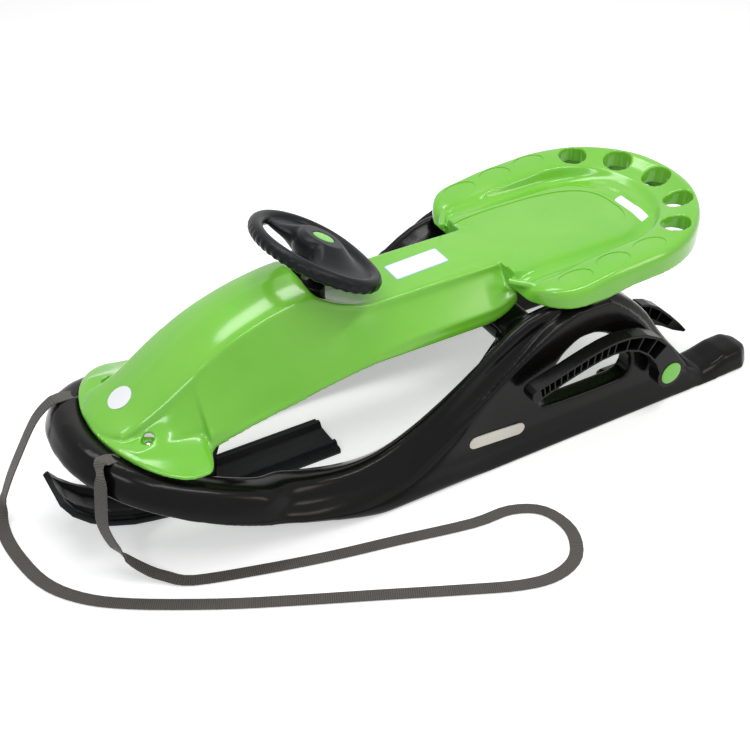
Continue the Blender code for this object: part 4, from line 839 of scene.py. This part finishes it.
def metal(name):
    """Zinc-plated steel with faint brushing."""
    made, nodes, links, shader = nodes_of(name)
    place = nodes.new("ShaderNodeTexCoord")
    brush = nodes.new("ShaderNodeTexNoise")
    brush.inputs["Scale"].default_value = 900.0
    links.new(place.outputs["Object"], brush.inputs["Vector"])
    rough = nodes.new("ShaderNodeMapRange")
    rough.inputs["To Min"].default_value = 0.18
    rough.inputs["To Max"].default_value = 0.38
    links.new(brush.outputs["Fac"], rough.inputs["Value"])
    links.new(rough.outputs["Result"], shader.inputs["Roughness"])
    shader.inputs["Base Color"].default_value = (0.66, 0.66, 0.64, 1.0)
    shader.inputs["Metallic"].default_value = 1.0
    return made


GREEN = plastic("green moulded plastic", (0.150, 0.490, 0.030), (0.178, 0.520, 0.042), 0.21,
                420.0, 0.0, 0.0, coat=0.35, specular=0.4)  # fmt: skip
GREEN_TRIM = plastic("green trim plastic", (0.150, 0.540, 0.040), (0.170, 0.570, 0.050), 0.28,
                     420.0, 0.03, 0.0008, coat=0.3)  # fmt: skip
BLACK = plastic("black moulded plastic", (0.0030, 0.0026, 0.0025), (0.0048, 0.0042, 0.0040), 0.19,
                60.0, 0.0, 0.0, specular=0.15)  # fmt: skip
BLACK_EDGED = plastic("black plastic, rounded", (0.0034, 0.0032, 0.0032), (0.0050, 0.0047, 0.0046),
                      0.28, 260.0, 0.04, 0.0016, specular=0.15)  # fmt: skip
BLUE_BLACK = plastic("blue-black plastic", (0.0048, 0.0054, 0.0066), (0.0070, 0.0080, 0.0098), 0.34,
                     300.0, 0.10, 0.0012, specular=0.15)  # fmt: skip
LABEL_BLUE = plastic("pale blue label edge", (0.30, 0.55, 0.66), (0.34, 0.60, 0.70), 0.35, 300.0,
                     0.03, 0.0)  # fmt: skip
WHITE = plastic("white label plastic", (0.78, 0.80, 0.82), (0.84, 0.86, 0.88), 0.35, 300.0, 0.03,
                0.0005)  # fmt: skip
BEIGE = plastic("beige plate plastic", (0.62, 0.59, 0.52), (0.70, 0.67, 0.60), 0.38, 240.0, 0.10,
                0.0008)  # fmt: skip
STEEL = metal("plated steel")
WEB = webbing("woven webbing")

SKINS = {
    "axle_bush": WHITE, "nose_screw": STEEL, "nose_badge": WHITE, "name_plate": BEIGE,
    "strap_anchor": BLACK_EDGED, "wheel_cap": GREEN_TRIM, "wheel_nut": STEEL,
    "steering_shaft": STEEL, "ski_leg": BLACK_EDGED, "front_ski": BLUE_BLACK,
    "brake_lever": BLACK_EDGED, "brake_claw": BLACK_EDGED, "brake_axle": STEEL,
    "brake_cap": GREEN_TRIM, "dash_collar": BLACK_EDGED, "steering_wheel": BLUE_BLACK,
    "tow_strap": WEB, "seat_body": GREEN, "runner_frame": BLACK,
}  # fmt: skip


def paint(piece, skin):
    piece.data.materials.clear()
    piece.data.materials.append(skin)


for node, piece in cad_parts.items():
    for stem, skin in SKINS.items():
        if node.startswith(stem):
            for held in piece.material_slots:
                held.material = skin


# Strap

route = strap_path()
rings = strap_rings(route)
strap = loft(rings)
strap.name = "webbing_strap"
strap.data.name = "webbing_strap"
lay_uv(strap, rings)
strap.data.shade_smooth()
strap.data.set_sharp_from_angle(angle=SHARP_STRAP)
paint(strap, WEB)
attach(strap, "sled")
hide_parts("tow_strap")


# Green body

body = boolean(body_shell(), rim_shell(), "UNION")
for side in (-1, 1):
    ends = [(x, side * y, z) for x, y, z in CORNER_FILL]
    body = boolean(body, rod(*ends, CORNER_FILL_RADIUS, sides=24), "UNION")
for side in (-1, 1):
    y = side * SCREW_Y
    boss = rod((SCREW_X, y, SCREW_FLOOR_Z - SCREW_BOSS_DEPTH), (SCREW_X, y, SCREW_BOSS_TOP_Z),
               SCREW_BOSS_RADIUS)  # fmt: skip
    well = rod((SCREW_X, y, SCREW_FLOOR_Z), (SCREW_X, y, SCREW_WELL_TOP_Z),
               SCREW_RADIUS + SCREW_WELL_WIDER)  # fmt: skip
    body = boolean(boolean(body, boss, "UNION"), well, "DIFFERENCE")
body = softened(body, BODY_VOXEL, BODY_ROUNDS)
body = press_shapes(body)
start, normal = badge_place()
pocket = rod(start, start + normal * BADGE_POCKET_REACH, BADGE_RADIUS + GAP, sides=64)
body = boolean(body, pocket, "DIFFERENCE")
body = boolean(body, collar_hole(), "DIFFERENCE")
body.name = "green_body"
body.data.shade_smooth()
body.data.set_sharp_from_angle(angle=SHARP_PLASTIC)
paint(body, GREEN)
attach(body, "sled")
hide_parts("seat_body")


# Black frame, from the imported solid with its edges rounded


def melt(piece, reach, rounds):
    """Smooths the front of the piece more, swells it back, and keeps it above the ground."""
    group = piece.vertex_groups.new(name="melt")
    for vert in piece.data.vertices:
        share = blend(*reach[:2], vert.co.x) * (1 - blend(*reach[2:], vert.co.x))
        if share > 0.01:
            group.add([vert.index], share, "REPLACE")
    step = piece.modifiers.new("melt", "SMOOTH")
    step.factor = 0.5
    step.iterations = rounds
    step.vertex_group = "melt"
    step = piece.modifiers.new("swell", "DISPLACE")
    step.mid_level = 0.0
    step.strength = MELT_SWELL
    step.vertex_group = "melt"
    mesh = applied(piece)
    piece.modifiers.clear()
    piece.data = mesh
    piece.vertex_groups.clear()
    for vert in mesh.vertices:
        vert.co.z = max(vert.co.z, CAD_BOX[0][2])


def rounded_copy(node, name, voxel, rounds, skin, body_name):
    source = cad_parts[node]
    mesh = source.data.copy()
    mesh.transform(source.matrix_world)
    piece = softened(new_object(name, mesh), voxel, rounds)
    melt(piece, MELT_X, MELT_ROUNDS)
    piece.name = name
    paint(piece, skin)
    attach(piece, body_name)
    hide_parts(node)


rounded_copy("runner_frame", "black_frame", FRAME_VOXEL, FRAME_ROUNDS, BLACK, "sled")  # fmt: skip


# Steering wheel

wheel = grip_wheel()
wheel.name = "grip_wheel"
paint(wheel, BLUE_BLACK)
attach(wheel, "steering")
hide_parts("steering_wheel")


# Bare labels


def grown(corners, more):
    """The four corners moved out, or in, along the label's two directions."""
    a, b, c, d = [Vector(p) for p in corners]
    along, across = (b - a + c - d).normalized() * more, (d - a + c - b).normalized() * more
    return [a - along - across, b + along - across, c + along + across, d - along + across]


body_tree = BVHTree.FromObject(body, bpy.context.evaluated_depsgraph_get())


def label(name, corners, thickness, rim, skin):
    """A thin sheet with rounded corners, laid on the body from four corners of its plan."""
    a, b, c, d = [Vector(p) for p in corners]
    along, across = (b - a + c - d) / 2, (d - a + c - b) / 2
    middle = (a + b + c + d) / 4
    length, width = along.length / 2, across.length / 2
    along, across = along.normalized(), across.normalized()
    columns, rows = 28, 8
    low, high = [], []
    for i in range(columns + 1):
        far = -length + 2 * length * i / columns
        corner = max(abs(far) - (length - rim), 0.0)
        reach = width - rim + math.sqrt(max(rim * rim - corner * corner, 0.0))
        for j in range(rows + 1):
            side = reach * (2 * j / rows - 1)
            spot = middle + along * far + across * side
            hit, normal = body_tree.ray_cast(Vector((spot.x, spot.y, ABOVE_ALL_Z)), DOWN)[:2]
            low.append(hit - normal * LABEL_SINK)
            high.append(hit + normal * thickness)
    work = bmesh.new()
    sheets = [[work.verts.new(p) for p in points] for points in (low, high)]
    for sheet in sheets:
        for i in range(columns):
            for j in range(rows):
                k = i * (rows + 1) + j
                work.faces.new((sheet[k], sheet[k + 1], sheet[k + rows + 2], sheet[k + rows + 1]))
    edge = [i * (rows + 1) for i in range(columns + 1)]
    edge += [columns * (rows + 1) + j for j in range(1, rows + 1)]
    edge += [i * (rows + 1) + rows for i in range(columns - 1, -1, -1)]
    edge += [j for j in range(rows - 1, 0, -1)]
    for m, k in enumerate(edge):
        after = edge[(m + 1) % len(edge)]
        work.faces.new((sheets[0][k], sheets[0][after], sheets[1][after], sheets[1][k]))
    bmesh.ops.recalc_face_normals(work, faces=work.faces)
    mesh = mesh_from(work, name)
    piece = new_object(name, mesh)
    mesh.shade_smooth()
    mesh.set_sharp_from_angle(angle=SHARP_PLASTIC)
    paint(piece, skin)
    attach(piece, "sled")


label("deck_label_edge", DECK_LABEL, 0.0004, 0.002, LABEL_BLUE)
label("deck_label", grown(DECK_LABEL, -0.0016), 0.0008, 0.001, WHITE)
label("rim_label", grown(RIM_LABEL, 0.0035), 0.0006, 0.003, WHITE)


# Floor, world and lights


def looked_at(nodes, links):
    """1 for rays from the camera, in reflections and through glass, and 0 for lighting rays."""
    path = nodes.new("ShaderNodeLightPath")
    most = path.outputs["Is Camera Ray"]
    for kind in ("Is Glossy Ray", "Is Transmission Ray"):
        either = nodes.new("ShaderNodeMath")
        either.operation = "MAXIMUM"
        links.new(most, either.inputs[0])
        links.new(path.outputs[kind], either.inputs[1])
        most = either.outputs["Value"]
    return most


def pale(name, colour, lift):
    """A pale surface that looks brighter to the camera and in reflections than it lights."""
    made, nodes, links, shader = nodes_of(name)
    shader.inputs["Base Color"].default_value = (*colour, 1.0)
    shader.inputs["Roughness"].default_value = 0.9
    shader.inputs["Specular IOR Level"].default_value = 0.1
    gain = nodes.new("ShaderNodeMath")
    gain.operation = "MULTIPLY"
    gain.inputs[1].default_value = lift
    links.new(looked_at(nodes, links), gain.inputs[0])
    shader.inputs["Emission Color"].default_value = (1.0, 1.0, 1.0, 1.0)
    links.new(gain.outputs["Value"], shader.inputs["Emission Strength"])
    return made


FLOOR_REACH = 12.0
FLOOR_Z = -0.0012
WORLD_LIGHT = 0.38

work = bmesh.new()
bmesh.ops.create_grid(work, x_segments=1, y_segments=1, size=FLOOR_REACH)
floor_mesh = mesh_from(work, "floor")
floor = new_object("floor", floor_mesh)
floor.location.z = FLOOR_Z
floor_mesh.materials.append(pale("pale floor", (0.80, 0.80, 0.80), 0.45))

world = bpy.data.worlds.new("studio")
bpy.context.scene.world = world
world.use_nodes = True
tree = world.node_tree
back = tree.nodes["Background"]
power = tree.nodes.new("ShaderNodeMapRange")
power.inputs["To Min"].default_value = WORLD_LIGHT
power.inputs["To Max"].default_value = 1.0
tree.links.new(looked_at(tree.nodes, tree.links), power.inputs["Value"])
tree.links.new(power.outputs["Result"], back.inputs["Strength"])
back.inputs["Color"].default_value = (1.0, 1.0, 1.0, 1.0)


def lamp(name, place, target, size, power, tint=(1.0, 1.0, 1.0)):
    light = bpy.data.lights.new(name, "AREA")
    light.shape = "RECTANGLE"
    light.size, light.size_y = size
    light.energy = power
    light.color = tint
    made = bpy.data.objects.new(name, light)
    made.location = place
    made.rotation_euler = (Vector(target) - Vector(place)).to_track_quat("-Z", "Y").to_euler()
    bpy.context.scene.collection.objects.link(made)


lamp("overhead", (-0.2, 0.7, 2.3), (0.0, 0.0, 0.15), (1.9, 0.55), 25.0)
lamp("strip", (0.2, -0.9, 1.9), (-0.1, -0.2, 0.05), (1.7, 0.08), 15.0)
lamp("front_left", (-2.0, -1.5, 1.9), (-0.1, 0.0, 0.15), (0.75, 0.75), 15.0, (0.92, 0.96, 1.0))
lamp("right_warm", (1.7, -1.9, 1.5), (0.2, 0.0, 0.2), (0.5, 1.1), 10.0, (1.0, 0.90, 0.78))

bpy.context.scene.view_settings.view_transform = "Standard"
